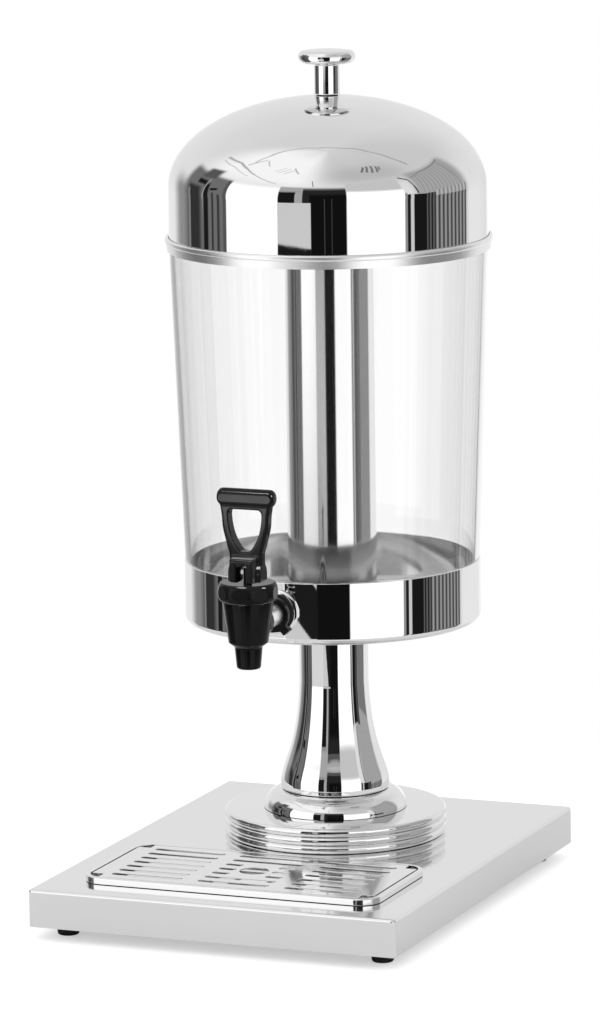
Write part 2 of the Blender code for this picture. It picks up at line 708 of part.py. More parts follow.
def vessel(column):
    """A tapered tub whose shoulder rests on the cup's rim, with a socket on its floor for the ice tube."""
    floor = VESSEL_FLOOR
    shoulder = VESSEL_SHOULDER_Z - VESSEL_Z
    top = VESSEL_TOP - VESSEL_Z
    taper = shoulder + VESSEL_SHOULDER_HEIGHT
    socket_outer = SOCKET_RADIUS + SOCKET_WALL
    socket_top = floor + SOCKET_HEIGHT
    corner = VESSEL_CUP_RADIUS - VESSEL_CORNER
    inner_corner = VESSEL_INNER_RADIUS - VESSEL_INNER_CORNER
    profile = (
        [(0, 0)]
        + arc(corner, VESSEL_CORNER, VESSEL_CORNER, -90, 0, INNER_ARC_STEPS)
        + [(VESSEL_CUP_RADIUS, shoulder), (VESSEL_SHOULDER_RADIUS, shoulder), (VESSEL_SHOULDER_RADIUS, taper)]
        + [(VESSEL_TOP_RADIUS, top), (VESSEL_TOP_RADIUS - VESSEL_WALL, top), (VESSEL_INNER_RADIUS, taper)]
        + arc(inner_corner, floor + VESSEL_INNER_CORNER, VESSEL_INNER_CORNER, 0, -90, INNER_ARC_STEPS)
        + [(socket_outer, floor), (socket_outer, socket_top)]
        + [(SOCKET_RADIUS, socket_top), (SOCKET_RADIUS, floor), (0, floor)]
    )
    tub = add("vessel", turned(profile, LARGE_SIDES), CLEAR, column, (0, 0, VESSEL_Z))
    hole = shank_hole("cut_vessel_hole", column, VESSEL_INNER_RADIUS - OVERRUN, VESSEL_CUP_RADIUS + OVERRUN)
    combine(tub, hole)


def ice_tube(column):
    lift = empty("ice_tube_lift_axis", (0, 0, ICE_TUBE_Z), column)
    inner = ICE_TUBE_RADIUS - ICE_TUBE_WALL
    top = ICE_TUBE_TOP - ICE_TUBE_Z
    bead = ICE_TUBE_BEAD
    profile = (
        [(0, 0)]
        + arc(ICE_TUBE_RADIUS - ICE_TUBE_CORNER, ICE_TUBE_CORNER, ICE_TUBE_CORNER, -90, 0, INNER_ARC_STEPS)
        + [(ICE_TUBE_RADIUS, top - 2 * bead), (ICE_TUBE_RADIUS + bead, top - bead), (ICE_TUBE_RADIUS, top)]
        + [(inner, top), (inner, ICE_TUBE_FLOOR), (0, ICE_TUBE_FLOOR)]
    )
    add("ice_tube", turned(profile, MIDDLE_SIDES), POLISHED, lift)


def ice_tube_seal(column):
    inner = ICE_TUBE_RADIUS + GAP
    ring = disc(inner + ICE_SEAL_WIDTH, 0, ICE_SEAL_HEIGHT, MIDDLE_SIDES, inner)
    add("ice_tube_seal", ring, SILICONE, column, (0, 0, VESSEL_FLOOR_TOP + GAP))


# Lid


def half_dome(radius, rise, hole, steps):
    """The dome's curve from its skirt up to a hole round its axis."""
    end = math.acos(hole / radius)
    turn = [end * i / steps for i in range(steps + 1)]
    return [(radius * math.cos(a), rise * math.sin(a)) for a in turn]


def dome_inside():
    """The dome's inner curve as (radius, height) above the skirt; it ends in a flat seat for the washer."""
    seat = LID_WASHER_RADIUS + GAP
    curve = half_dome(DOME_RADIUS - DOME_SHEET, DOME_RISE - DOME_SHEET, seat, DOME_INNER_STEPS)
    return curve + [(LID_SCREW_RADIUS + GAP, curve[-1][1])]


def lid_dome(lid):
    skirt = DOME_SKIRT_TOP - LID_Z
    curve = half_dome(DOME_RADIUS, DOME_RISE, LID_SCREW_RADIUS + GAP, DOME_STEPS)
    outside = [(r, skirt + z) for r, z in curve]
    inside = [(r, skirt + z) for r, z in dome_inside()]
    profile = [(DOME_RADIUS - DOME_SHEET, 0), (DOME_RADIUS, 0)] + outside + inside[::-1]
    add("lid_dome", turned(profile, LARGE_SIDES), POLISHED, lid)


def lid_rim(lid):
    """The satin hoop crimped round the dome's edge, with a bead along its top."""
    bottom = HOOP_BOTTOM - LID_Z
    top = bottom + HOOP_HEIGHT
    inner = DOME_RADIUS + GAP
    bead_middle = top - HOOP_BEAD_HEIGHT / 2
    bead = []
    for step in range(ARC_STEPS + 1):
        angle = math.pi * (step / ARC_STEPS - 0.5)
        out = HOOP_NECK_WALL + (HOOP_BEAD_REACH - HOOP_NECK_WALL) * math.cos(angle)
        bead.append((inner + out, bead_middle + HOOP_BEAD_HEIGHT / 2 * math.sin(angle)))
    profile = [(inner, bottom), (inner + HOOP_BOTTOM_WALL, bottom)] + bead + [(inner, top)]
    add("lid_rim", turned(profile, LARGE_SIDES), SATIN, lid)


def lid_knob(lid):
    """A round stem that widens into a disc with a fat rounded edge; a thin seal sits in a recess in its foot."""
    base = KNOB_Z - LID_Z
    stem_top = base + KNOB_STEM_HEIGHT
    top = stem_top + KNOB_HEIGHT
    corner = KNOB_RADIUS - KNOB_EDGE
    bore = LID_SCREW_RADIUS + GAP
    stem = KNOB_STEM_RADIUS
    recess_top = KNOB_RECESS_TOP - LID_Z
    profile = (
        [(bore, recess_top), (KNOB_RECESS_RADIUS, recess_top), (KNOB_RECESS_RADIUS, base)]
        + [(stem + KNOB_STEM_FLARE, base), (stem, base + KNOB_STEM_FLARE)]
        + [(stem, stem_top), (stem + KNOB_NECK, stem_top + KNOB_NECK)]
        + arc(corner, top - KNOB_CROWN - KNOB_EDGE, KNOB_EDGE, KNOB_EDGE_START, 90)
        + [(corner / 2, top - KNOB_CROWN / 4), (0, top)]
        + [(0, base + KNOB_THREAD_DEPTH), (bore, base + KNOB_THREAD_DEPTH)]
    )
    add("lid_knob", turned(profile, MIDDLE_SIDES), POLISHED, lid)
    seal = disc(KNOB_RECESS_RADIUS - GAP, 0, KNOB_SEAL_THICKNESS, SMALL_SIDES, bore)
    add("lid_knob_seal", seal, BLACK_RUBBER, lid, (0, 0, base))


def lid_screw(lid):
    washer_z = DOME_SKIRT_TOP - LID_Z + dome_inside()[-1][1] - GAP - LID_WASHER_THICKNESS
    washer = disc(LID_WASHER_RADIUS, 0, LID_WASHER_THICKNESS, SMALL_SIDES, LID_SCREW_RADIUS + GAP)
    add("lid_washer", washer, ZINC, lid, (0, 0, washer_z))
    head_top = washer_z - GAP
    head = head_top - LID_SCREW_HEAD_HEIGHT
    tip = KNOB_Z - LID_Z + LID_SCREW_REACH
    profile = [(0, head), (LID_SCREW_HEAD_RADIUS, head), (LID_SCREW_HEAD_RADIUS, head_top)]
    profile += [(LID_SCREW_RADIUS, head_top), (LID_SCREW_RADIUS, tip), (0, tip)]
    add("lid_screw", turned(profile, TINY_SIDES), ZINC, lid)


# Tap


def body_taper(z):
    """The body's outer radius at a height."""
    share = (z - BODY_FOOT) / (BODY_TOP - BODY_FOOT)
    return BODY_FOOT_RADIUS + (BODY_TOP_RADIUS - BODY_FOOT_RADIUS) * share


def tap_body(tap):
    chamber_top = body_taper(BODY_TOP) - BODY_WALL
    neck_top = BODY_TOP + BODY_NECK_HEIGHT
    outer = (
        [(OUTLET_RADIUS, SPOUT_BOTTOM)]
        + arc(SPOUT_TIP_RADIUS - SPOUT_ROUNDING, SPOUT_BOTTOM + SPOUT_ROUNDING, SPOUT_ROUNDING, -90, 0)
        + [(SPOUT_TOP_RADIUS, BODY_FOOT - BODY_CHAMFER), (BODY_FOOT_RADIUS, BODY_FOOT)]
        + [(BODY_TOP_RADIUS, BODY_TOP), (BODY_NECK_RADIUS, BODY_TOP), (BODY_NECK_RADIUS, neck_top)]
    )
    chamber = [
        (BODY_NECK_RADIUS - BODY_WALL, neck_top),
        (min(chamber_top, BODY_NECK_RADIUS - BODY_WALL), BODY_TOP),
        (body_taper(BODY_SEAT) - BODY_WALL, BODY_SEAT),
        (OUTLET_RADIUS, BODY_SEAT),
    ]
    body = add("tap_body", turned(outer + chamber, MIDDLE_SIDES), BLACK_PLASTIC, tap)
    root = body_taper(SHANK_Z) - BODY_WALL / 2
    boss = laid(disc(TAP_BOSS_RADIUS, -TAP_BOSS_REACH, -root, SMALL_SIDES))
    combine(body, add("join_tap_boss", boss, None, tap, (0, 0, SHANK_Z)), "UNION")
    bore = laid(disc(SHANK_HOLE_RADIUS, -TAP_BOSS_REACH - OVERRUN, -SHANK_START + BODY_WALL, SMALL_SIDES))
    combine(body, add("cut_tap_port", bore, None, tap, (0, 0, SHANK_Z)))


def tap_bonnet(tap):
    """The nut over the body's neck: a bulge with flats cut across it, and a hole for the stem."""
    bulge_z = BONNET_HEIGHT * BONNET_BULGE_SHARE
    lower = BONNET_BULGE_RADIUS - BONNET_FOOT_RADIUS
    upper = BONNET_BULGE_RADIUS - BONNET_TOP_RADIUS
    outer = []
    for step in range(ARC_STEPS + 1):
        angle = math.pi / 2 * (step / ARC_STEPS - 1)
        outer.append((BONNET_FOOT_RADIUS + lower * math.cos(angle), bulge_z * (1 + math.sin(angle))))
    for step in range(1, ARC_STEPS + 1):
        angle = math.pi / 2 * step / ARC_STEPS
        rise = BONNET_HEIGHT - bulge_z
        outer.append((BONNET_TOP_RADIUS + upper * math.cos(angle), bulge_z + rise * math.sin(angle)))
    hole = STEM_RADIUS + GAP
    bore = BODY_NECK_RADIUS + GAP
    roof = BONNET_HEIGHT - BONNET_ROOF
    profile = [(bore, 0)] + outer + [(hole, BONNET_HEIGHT), (hole, roof), (bore, roof)]
    bonnet = add("tap_bonnet", turned(profile, MIDDLE_SIDES), BLACK_PLASTIC, tap, (0, 0, BONNET_Z))
    flats = regular(BONNET_SIDES, 2 * (BONNET_BULGE_RADIUS - BONNET_FLAT_INSET))
    block = turned_by(prism(flats, -OVERRUN, BONNET_HEIGHT + OVERRUN), BONNET_TURN, "Z")
    combine(bonnet, add("keep_bonnet_flats", block, None, tap, (0, 0, BONNET_Z)), "INTERSECT")


def tap_stem(stem):
    """The rod that the lever lifts, with a flange for the spring and an eye for the pin."""
    foot = SEAT_CUP_Z + SEAT_CUP_SOLE + GAP - PIN_Z
    flange = SEAT_CUP_Z + SEAT_CUP_HEIGHT + GAP - PIN_Z
    profile = [
        (0, foot),
        (STEM_RADIUS, foot),
        (STEM_RADIUS, flange),
        (STEM_FLANGE_RADIUS, flange),
        (STEM_FLANGE_RADIUS, flange + STEM_FLANGE_THICKNESS),
        (STEM_RADIUS, flange + STEM_FLANGE_THICKNESS),
        (STEM_RADIUS, STEM_ABOVE_PIN),
        (0, STEM_ABOVE_PIN),
    ]
    rod = add("tap_stem", turned(profile, SMALL_SIDES), BLACK_PLASTIC, stem)
    eye = along_x(disc(PIN_RADIUS + GAP, -STEM_RADIUS - OVERRUN, STEM_RADIUS + OVERRUN, SMALL_SIDES))
    combine(rod, add("cut_stem_eye", eye, None, stem))
    bore = STEM_RADIUS + GAP
    cup = [
        (0, 0),
        (SEAT_CUP_RADIUS, 0),
        (SEAT_CUP_RADIUS, SEAT_CUP_SOLE / 2),
        (SEAT_CUP_NECK_RADIUS, SEAT_CUP_SOLE * 2),
        (SEAT_CUP_NECK_RADIUS, SEAT_CUP_HEIGHT),
        (bore, SEAT_CUP_HEIGHT),
        (bore, SEAT_CUP_SOLE),
        (0, SEAT_CUP_SOLE),
    ]
    add("tap_seat_cup", turned(cup, SMALL_SIDES), SILICONE, stem, (0, 0, SEAT_CUP_Z - PIN_Z))


def tap_spring(tap):
    """A wire helix between the stem's flange and the bonnet's roof."""
    low = SEAT_CUP_Z + SEAT_CUP_HEIGHT + GAP + STEM_FLANGE_THICKNESS + GAP + SPRING_WIRE_RADIUS
    high = SPRING_TOP - SPRING_WIRE_RADIUS
    count = SPRING_TURNS * SPRING_POINTS_PER_TURN
    curve = bpy.data.curves.new("tap_spring", "CURVE")
    curve.dimensions = "3D"
    curve.bevel_depth = SPRING_WIRE_RADIUS
    curve.bevel_resolution = SPRING_ROUNDNESS
    curve.use_fill_caps = True
    spline = curve.splines.new("POLY")
    spline.points.add(count)
    for i, point in enumerate(spline.points):
        angle = math.tau * i / SPRING_POINTS_PER_TURN
        z = low + (high - low) * i / count
        point.co = (SPRING_RADIUS * math.cos(angle), SPRING_RADIUS * math.sin(angle), z, 1)
    made = bpy.data.objects.new("tap_spring", curve)
    made.parent = tap
    bpy.context.scene.collection.objects.link(made)
    curve.materials.append(material("tap_spring", ZINC))


def cam_outline():
    """The lever pad's side view as (forwards, up) from the pin: the front of its sole is a cam.

    Tilted by an angle, its lowest point is the rest height and the lift for that angle below the pin.
    """
    rest = PIN_ABOVE_BONNET - GAP
    lift = CAM_LIFT_PER_RADIAN
    cam = []
    for step in range(CAM_STEPS + 1):
        a = CAM_SWEEP * step / CAM_STEPS
        reach = rest + lift * a
        cam.append((reach * math.sin(a) + lift * math.cos(a), lift * math.sin(a) - reach * math.cos(a)))
    front = cam[-1][0]
    top = LEVER_TOP
    corner = arc(front - LEVER_CORNER, top - LEVER_CORNER, LEVER_CORNER, 0, 90, INNER_ARC_STEPS)
    return cam + corner + [(0, top), (0, -rest)]


def hub_outline():
    """The round-topped hub's side view, also as (forwards, up); its sole is a step above the pad's."""
    sole = HUB_STEP + GAP - PIN_ABOVE_BONNET
    return [(HUB_RADIUS, sole)] + arc(0, 0, HUB_RADIUS, 0, 180, 2 * ARC_STEPS) + [(-HUB_RADIUS, sole)]


def side_prism(outline, half_width):
    """An outline of (forwards, up) points made as wide as the object is across."""
    bm = prism([(up, -forwards) for forwards, up in outline], -half_width, half_width)
    return turned_by(bm, -math.pi / 2, "Y")


def mirrored(half):
    """A closed outline from the points of its right half, which run upwards."""
    return half + [(-x, z) for x, z in half[::-1]]


def loop_plate():
    """The handle's plate, as wide as its outer edge, with softened edges."""
    half = LOOP_DEPTH / 2
    plate = prism(mirrored([(LOOP_HALF_WIDTH * x, LOOP_TOP * z) for x, z in LOOP_EDGE_SHARES]), -half, half)
    for face in (-half, half):
        softened(plate, face, LOOP_EDGE)
    return laid(plate)


def loop_opening():
    rise = LOOP_OPENING_TOP - LOOP_OPENING_BOTTOM
    half = [(LOOP_OPENING_HALF_WIDTH * x, LOOP_OPENING_BOTTOM + rise * z) for x, z in LOOP_OPENING_SHARES]
    return laid(prism(mirrored(half), -LOOP_DEPTH, LOOP_DEPTH))


def handle_bar():
    """A round bar along X with rounded ends and a flat face at its front."""
    half = BAR_LENGTH / 2
    end = arc(BAR_RADIUS - BAR_ROUNDING, half - BAR_ROUNDING, BAR_ROUNDING, 0, 90, END_ARC_STEPS)
    other = arc(BAR_RADIUS - BAR_ROUNDING, BAR_ROUNDING - half, BAR_ROUNDING, -90, 0, END_ARC_STEPS)
    bar = along_x(turned([(0, -half)] + other + end + [(0, half)], SMALL_SIDES))
    bmesh.ops.remove_doubles(bar, verts=bar.verts, dist=MERGE)
    geometry = bar.verts[:] + bar.edges[:] + bar.faces[:]
    cut = bmesh.ops.bisect_plane(
        bar, geom=geometry, plane_co=(0, -BAR_FACE, 0), plane_no=(0, -1, 0), clear_outer=True
    )["geom_cut"]
    bmesh.ops.contextual_create(bar, geom=[e for e in cut if isinstance(e, bmesh.types.BMEdge)])
    return bar


def tap_lever(lever):
    block = add("tap_lever", side_prism(cam_outline(), LEVER_PAD_WIDTH / 2), BLACK_PLASTIC, lever)
    combine(block, add("join_lever_hub", side_prism(hub_outline(), HUB_WIDTH / 2), None, lever), "UNION")
    combine(block, add("join_lever_loop", loop_plate(), None, lever), "UNION")
    combine(block, add("join_lever_bar", handle_bar(), None, lever, (0, 0, BAR_HEIGHT)), "UNION")
    combine(block, add("cut_lever_loop", loop_opening(), None, lever))
    reach = HUB_WIDTH
    back = -LEVER_SLOT_BACK
    slot = [(back, -reach), (reach, -reach), (reach, LEVER_SLOT_TOP), (back, LEVER_SLOT_TOP)]
    combine(block, add("cut_lever_slot", side_prism(slot, LEVER_SLOT_WIDTH / 2), None, lever))
    bore = along_x(disc(PIN_RADIUS + GAP, -HUB_WIDTH / 2 - OVERRUN, PIN_END + GAP, SMALL_SIDES))
    combine(block, add("cut_lever_bore", bore, None, lever))
    add("tap_lever_pin", along_x(disc(PIN_RADIUS, -PIN_START, PIN_END, SMALL_SIDES)), ZINC, lever)


def tap_shank(column):
    """The hollow shank from the tap's body through the walls of cup and vessel."""
    tube = laid(disc(SHANK_RADIUS, SHANK_END_REACH, TAP_REACH - SHANK_START, SMALL_SIDES, SHANK_BORE))
    add("tap_shank", tube, SATIN, column, (0, 0, SHANK_Z))


def shank_ring(name, look, column, radius, low_reach, high_reach):
    """A ring round the shank, between two distances from the column's axis."""
    ring = laid(disc(radius, low_reach, high_reach, MIDDLE_SIDES, SHANK_HOLE_RADIUS))
    return add(name, ring, look, column, (0, 0, SHANK_Z))


def outer_nut(column, start):
    """A round nut with two lugs to turn it by."""
    end = start + OUTER_NUT_HEIGHT
    nut = shank_ring("tap_outer_nut", BLACK_PLASTIC, column, OUTER_NUT_RADIUS, start, end)
    lugs = laid(prism(rounded_rectangle(OUTER_NUT_LUG_SPAN, OUTER_NUT_LUG_WIDTH, GAP, 1), start, end))
    turned_by(lugs, -OUTER_NUT_TURN, "Y")
    combine(nut, add("join_nut_lugs", lugs, None, column, (0, 0, SHANK_Z)), "UNION")
    combine(nut, shank_hole("cut_outer_nut", column, start - OVERRUN, end + OVERRUN))


def inner_nut(column):
    start = INNER_NUT_BACK
    end = start + INNER_NUT_HEIGHT
    shape = laid(prism(regular(HEX_SIDES, INNER_NUT_FLATS), start, end))
    nut = add("tap_inner_nut", shape, BLACK_PLASTIC, column, (0, 0, SHANK_Z))
    combine(nut, shank_hole("cut_inner_nut", column, start - OVERRUN, end + OVERRUN))


def shank_fittings(column):
    """What clamps the shank: ring, seal and nut outside the cup, seal and nut inside the vessel."""
    height = 2 * ESCUTCHEON_RADIUS
    inner_reach = CUP_RADIUS - OVERRUN
    radius = ESCUTCHEON_RADIUS
    escutcheon = shank_ring("tap_escutcheon", POLISHED, column, radius, inner_reach, ESCUTCHEON_FRONT)
    cup_shape = disc(CUP_RADIUS + GAP, SHANK_Z - height, SHANK_Z + height, LARGE_SIDES)
    combine(escutcheon, add("cut_escutcheon", cup_shape, None, column))
    seal_start = ESCUTCHEON_FRONT + GAP
    shank_ring("tap_outer_seal", BLACK_RUBBER, column, OUTER_SEAL_RADIUS, seal_start, OUTER_SEAL_FRONT)
    outer_nut(column, OUTER_SEAL_FRONT + GAP)
    seal_end = VESSEL_INNER_RADIUS + OVERRUN
    inner_seal = shank_ring("tap_inner_seal", SILICONE, column, INNER_SEAL_RADIUS, INNER_SEAL_BACK, seal_end)
    vessel_shape = disc(VESSEL_INNER_RADIUS - GAP, SHANK_Z - height, SHANK_Z + height, LARGE_SIDES)
    combine(inner_seal, add("keep_inner_seal", vessel_shape, None, column), "INTERSECT")
    inner_nut(column)


# Drip tray


def drip_pan(tray):
    outer = prism(rounded_rectangle(TRAY_WIDTH, TRAY_DEPTH, TRAY_CORNER), 0, TRAY_HEIGHT)
    pan = add("drip_pan", softened(outer, TRAY_HEIGHT, TRAY_RIM_EDGE), POLISHED, tray)
    inner_corner = TRAY_CORNER - TRAY_RIM
    outline = rounded_rectangle(TRAY_WIDTH - 2 * TRAY_RIM, TRAY_DEPTH - 2 * TRAY_RIM, inner_corner)
    combine(pan, add("cut_drip_pan", prism(outline, TRAY_FLOOR, TRAY_HEIGHT + OVERRUN), None, tray))


def slot_outline(length):
    """A straight slot with round ends, along X."""
    half = length / 2 - SLOT_WIDTH / 2
    right_end = arc(half, 0, SLOT_WIDTH / 2, -90, 90, END_ARC_STEPS)
    left_end = arc(-half, 0, SLOT_WIDTH / 2, 90, 270, END_ARC_STEPS)
    return right_end + left_end


def slot_places():
    """Each slot's length and middle: three columns of rows, with short rows beside the finger hole."""
    middle_row = (SLOT_ROWS - 1) / 2
    short_x = (SLOT_LENGTH - SHORT_SLOT_LENGTH) / 2
    for row in range(SLOT_ROWS):
        y = (row - middle_row) * SLOT_PITCH
        for side in (-1, 1):
            yield SLOT_LENGTH, side * SLOT_COLUMN_PITCH, y
        if abs(row - middle_row) > SHORT_SLOT_ROWS:
            yield SLOT_LENGTH, 0, y
        else:
            yield SHORT_SLOT_LENGTH, -short_x, y
            yield SHORT_SLOT_LENGTH, short_x, y


def drip_grid(grid):
    """A slotted sheet with turned-down sides that stand on the pan's floor, notched at its corners."""
    width = TRAY_WIDTH - 2 * TRAY_RIM - 2 * GRID_PLAY
    depth = TRAY_DEPTH - 2 * TRAY_RIM - 2 * GRID_PLAY
    top = TRAY_HEIGHT
    foot = TRAY_FLOOR + GAP
    corner_x = width / 2
    corner_y = depth / 2
    in_x = corner_x - GRID_NOTCH
    in_y = corner_y - GRID_NOTCH
    outline = []
    for sx, sy in ((1, 1), (-1, 1), (-1, -1), (1, -1)):
        notch = [(sx * corner_x, sy * in_y), (sx * in_x, sy * in_y), (sx * in_x, sy * corner_y)]
        outline += notch if sx * sy > 0 else notch[::-1]
    sheet = add("drip_grid", prism(outline, foot, top), POLISHED, grid)
    hollow = [
        prism(rounded_rectangle(w, d, GRID_SHEET), foot - OVERRUN, top - GRID_SHEET)
        for w, d in (
            (width - 2 * GRID_SHEET, 2 * in_y - 2 * GRID_SHEET),
            (2 * in_x - 2 * GRID_SHEET, depth - 2 * GRID_SHEET),
        )
    ]
    for i, part in enumerate(hollow):
        combine(sheet, add(f"cut_grid_hollow_{i}", part, None, grid))
    low = top - GRID_SHEET - OVERRUN / 2
    slots = [
        moved(prism(slot_outline(length), low, top + OVERRUN), x, y) for length, x, y in slot_places()
    ]
    combine(sheet, add("cut_grid_slots", merged(slots), None, grid))
    finger_hole = disc(FINGER_HOLE_RADIUS, low, top + OVERRUN, SMALL_SIDES)
    combine(sheet, add("cut_finger_hole", finger_hole, None, grid))


def build():
    clear_scene()
    column = empty("column_axis", (0, COLUMN_Y, 0))
    lid = empty("lid_lift_axis", (0, 0, LID_Z), column)
    tap = empty("tap_axis", (0, TAP_Y, 0))
    stem = empty("tap_stem_axis", (0, 0, PIN_Z), tap)
    lever = empty("tap_lever_axis", (0, 0, 0), stem)
    tray = empty("drip_pan_axis", (0, TRAY_Y, TRAY_Z))
    grid = empty("drip_grid_axis", (0, 0, 0), tray)
    base_pan()
    base_stiffener(column)
    feet()
    for make in (plinth_disc, column_foot, column_tube, tie_rod, cup_boss, base_cup, vessel_gasket, vessel):
        make(column)
    for make in (ice_tube, ice_tube_seal, tap_shank, shank_fittings):
        make(column)
    for make in (lid_dome, lid_rim, lid_knob, lid_screw):
        make(lid)
    for make in (tap_body, tap_bonnet, tap_spring):
        make(tap)
    tap_stem(stem)
    tap_lever(lever)
    drip_pan(tray)
    drip_grid(grid)


build()
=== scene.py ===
"""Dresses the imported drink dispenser: finely turned metal, clear vessel, moulded tap, studio and camera.

Metres, +Z up. Heights are counted from the floor, and the column's axis carries every turned piece.
"""

import json
import math

import bmesh
import bpy
from mathutils import Matrix, Vector

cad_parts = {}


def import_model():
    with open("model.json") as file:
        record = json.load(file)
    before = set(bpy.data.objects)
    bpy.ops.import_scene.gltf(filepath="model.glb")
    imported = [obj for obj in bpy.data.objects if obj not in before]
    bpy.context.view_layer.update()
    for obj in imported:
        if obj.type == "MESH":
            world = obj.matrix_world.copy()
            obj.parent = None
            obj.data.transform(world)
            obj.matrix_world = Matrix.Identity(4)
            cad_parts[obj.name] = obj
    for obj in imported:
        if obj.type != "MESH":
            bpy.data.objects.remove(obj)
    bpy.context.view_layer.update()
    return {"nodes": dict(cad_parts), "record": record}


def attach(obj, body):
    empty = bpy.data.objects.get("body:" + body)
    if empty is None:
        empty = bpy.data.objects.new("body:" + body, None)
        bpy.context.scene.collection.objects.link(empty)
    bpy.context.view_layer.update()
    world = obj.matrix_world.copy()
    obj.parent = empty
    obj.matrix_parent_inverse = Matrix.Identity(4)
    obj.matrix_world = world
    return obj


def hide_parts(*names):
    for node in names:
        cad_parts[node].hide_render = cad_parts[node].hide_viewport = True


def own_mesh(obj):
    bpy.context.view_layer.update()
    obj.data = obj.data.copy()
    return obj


MM = 0.001

# How finely the pieces are turned
SIDES = 144
SMALL_SIDES = 64
ARC_STEPS = 8
RIM_STEPS = 3
EDGE_STEPS = 4
HOLE_SIDES = 48
# Directions in a profile, in degrees from the outward one
UP = 90
DOWN = -90
INWARD = 180
# The profile that makes a bevel round
ROUND = 0.5
SMOOTH_ANGLE = math.radians(35)
MERGE = 0.001 * MM
OVERRUN = 3 * MM
GAP = 0.3 * MM

# Main places
COLUMN_Y = 53.5 * MM
TAP_REACH = 152.3 * MM
TAP_Y = COLUMN_Y - TAP_REACH
BASE_TOP = 34.6 * MM
SHANK_Z = 206 * MM
PIN_Z = 242.3 * MM

# Base
BASE_WIDTH = 260 * MM
BASE_DEPTH = 347 * MM
BASE_BOTTOM = 9.2 * MM
BASE_SHEET = 1.2 * MM
BASE_CORNER = 3 * MM
BASE_EDGE = 2 * MM
BASE_LIP = 32 * MM
SEAM_WIDTH = 1.8 * MM
SEAM_DEPTH = 0.9 * MM
SEAM_CORNER = 0.6 * MM
SEAM_INSET = 2.6 * MM
FOOT_RADIUS = 8 * MM
FOOT_TAPER = 0.7 * MM
FOOT_ROUNDING = 1.6 * MM
FOOT_RECESS = 4.3 * MM
FOOT_RECESS_DEPTH = 4 * MM
FOOT_BORE = 2.3 * MM
FOOT_X = 112 * MM
FOOT_Y = 148.5 * MM

# Column
ROD_HOLE = 5 * MM
PLINTH_Z = 34.7 * MM
PLINTH_RADIUS = 76.1 * MM
PLINTH_HEIGHT = 17.5 * MM
PLINTH_RIDGES = 3
PLINTH_GROOVE = 2.2 * MM
PLINTH_WALL = 2 * MM
BULGE_Z = 52.5 * MM
BULGE_RADIUS = 49 * MM
BULGE_TOP_RADIUS = 36.6 * MM
BULGE_HEIGHT = 13 * MM
BULGE_WALL = 1.5 * MM
BULGE_SLANT_SHARE = 1 / 3
COLUMN_Z = 65.8 * MM
COLUMN_TOP = 183.2 * MM
COLUMN_RADIUS = 23.7 * MM
COLUMN_BELL_RADIUS = 37.3 * MM
COLUMN_LIP_HEIGHT = 3.2 * MM
COLUMN_LIP_ROUNDING = 1.1 * MM
COLUMN_BELL_HEIGHT = 71 * MM
COLUMN_WALL = 1.2 * MM
BELL_STEPS = 6
# Height and flare of the bell, as shares of its height and of what it widens by
BELL_SHARES = (
    (0.0, 1.0),
    (0.08, 0.96),
    (0.17, 0.835),
    (0.27, 0.655),
    (0.38, 0.47),
    (0.5, 0.31),
    (0.65, 0.165),
    (0.82, 0.06),
    (1.0, 0.0),
)

# Cup, vessel and ice tube
CUP_Z = 183.5 * MM
CUP_RADIUS = 101 * MM
CUP_HEIGHT = 42.5 * MM
CUP_SHEET = 1 * MM
CUP_CORNER = 5 * MM
# How squarely a face of the cup looks up or inwards to count as its inside
CUP_INSIDE_SHARE = 0.4
VESSEL_Z = 187.6 * MM
VESSEL_CUP_RADIUS = 99.7 * MM
VESSEL_INNER_RADIUS = 96.7 * MM
VESSEL_SHOULDER_Z = 226.3 * MM
VESSEL_SHOULDER_RADIUS = 100.5 * MM
VESSEL_SHOULDER_HEIGHT = 0.9 * MM
VESSEL_TOP = 444.5 * MM
VESSEL_TOP_RADIUS = 108.2 * MM
VESSEL_WALL = 3 * MM
VESSEL_FLOOR = 3.5 * MM
VESSEL_CORNER = 5 * MM
VESSEL_INNER_CORNER = 2 * MM
VESSEL_RIM = 0.8 * MM
SOCKET_RADIUS = 33.6 * MM
SOCKET_WALL = 2.5 * MM
SOCKET_HEIGHT = 8 * MM
ICE_TUBE_Z = 191.4 * MM
ICE_TUBE_TOP = 451 * MM
ICE_TUBE_RADIUS = 30.3 * MM
ICE_TUBE_WALL = 0.8 * MM
ICE_TUBE_FLOOR = 1.2 * MM
ICE_TUBE_CORNER = 2.5 * MM
ICE_TUBE_BEAD = 0.9 * MM

# Lid
LID_Z = 444.8 * MM
DOME_SKIRT_TOP = 482 * MM
DOME_RADIUS = 108.4 * MM
DOME_RISE = 60.6 * MM
DOME_SHEET = 0.8 * MM
DOME_STEPS = 48
WASHER_SEAT = 8.3 * MM
SCREW_HOLE = 2.8 * MM
HOOP_Z = 438.4 * MM
HOOP_HEIGHT = 9 * MM
HOOP_BOTTOM_WALL = 0.7 * MM
HOOP_NECK_WALL = 1.3 * MM
HOOP_BEAD_HEIGHT = 3.8 * MM
HOOP_BEAD_REACH = 2.3 * MM
KNOB_Z = 542.9 * MM
KNOB_SEAL_THICKNESS = 0.8 * MM
KNOB_SKIRT_WALL = 1.2 * MM
KNOB_STEM_RADIUS = 8.6 * MM
KNOB_STEM_FLARE = 0.7 * MM
KNOB_STEM_HEIGHT = 19.4 * MM
KNOB_NECK = 1.4 * MM
KNOB_RADIUS = 19.5 * MM
KNOB_HEIGHT = 11.3 * MM
KNOB_EDGE = 4.4 * MM
KNOB_EDGE_START = -80
KNOB_CROWN = 1 * MM
KNOB_THREAD_DEPTH = 12 * MM

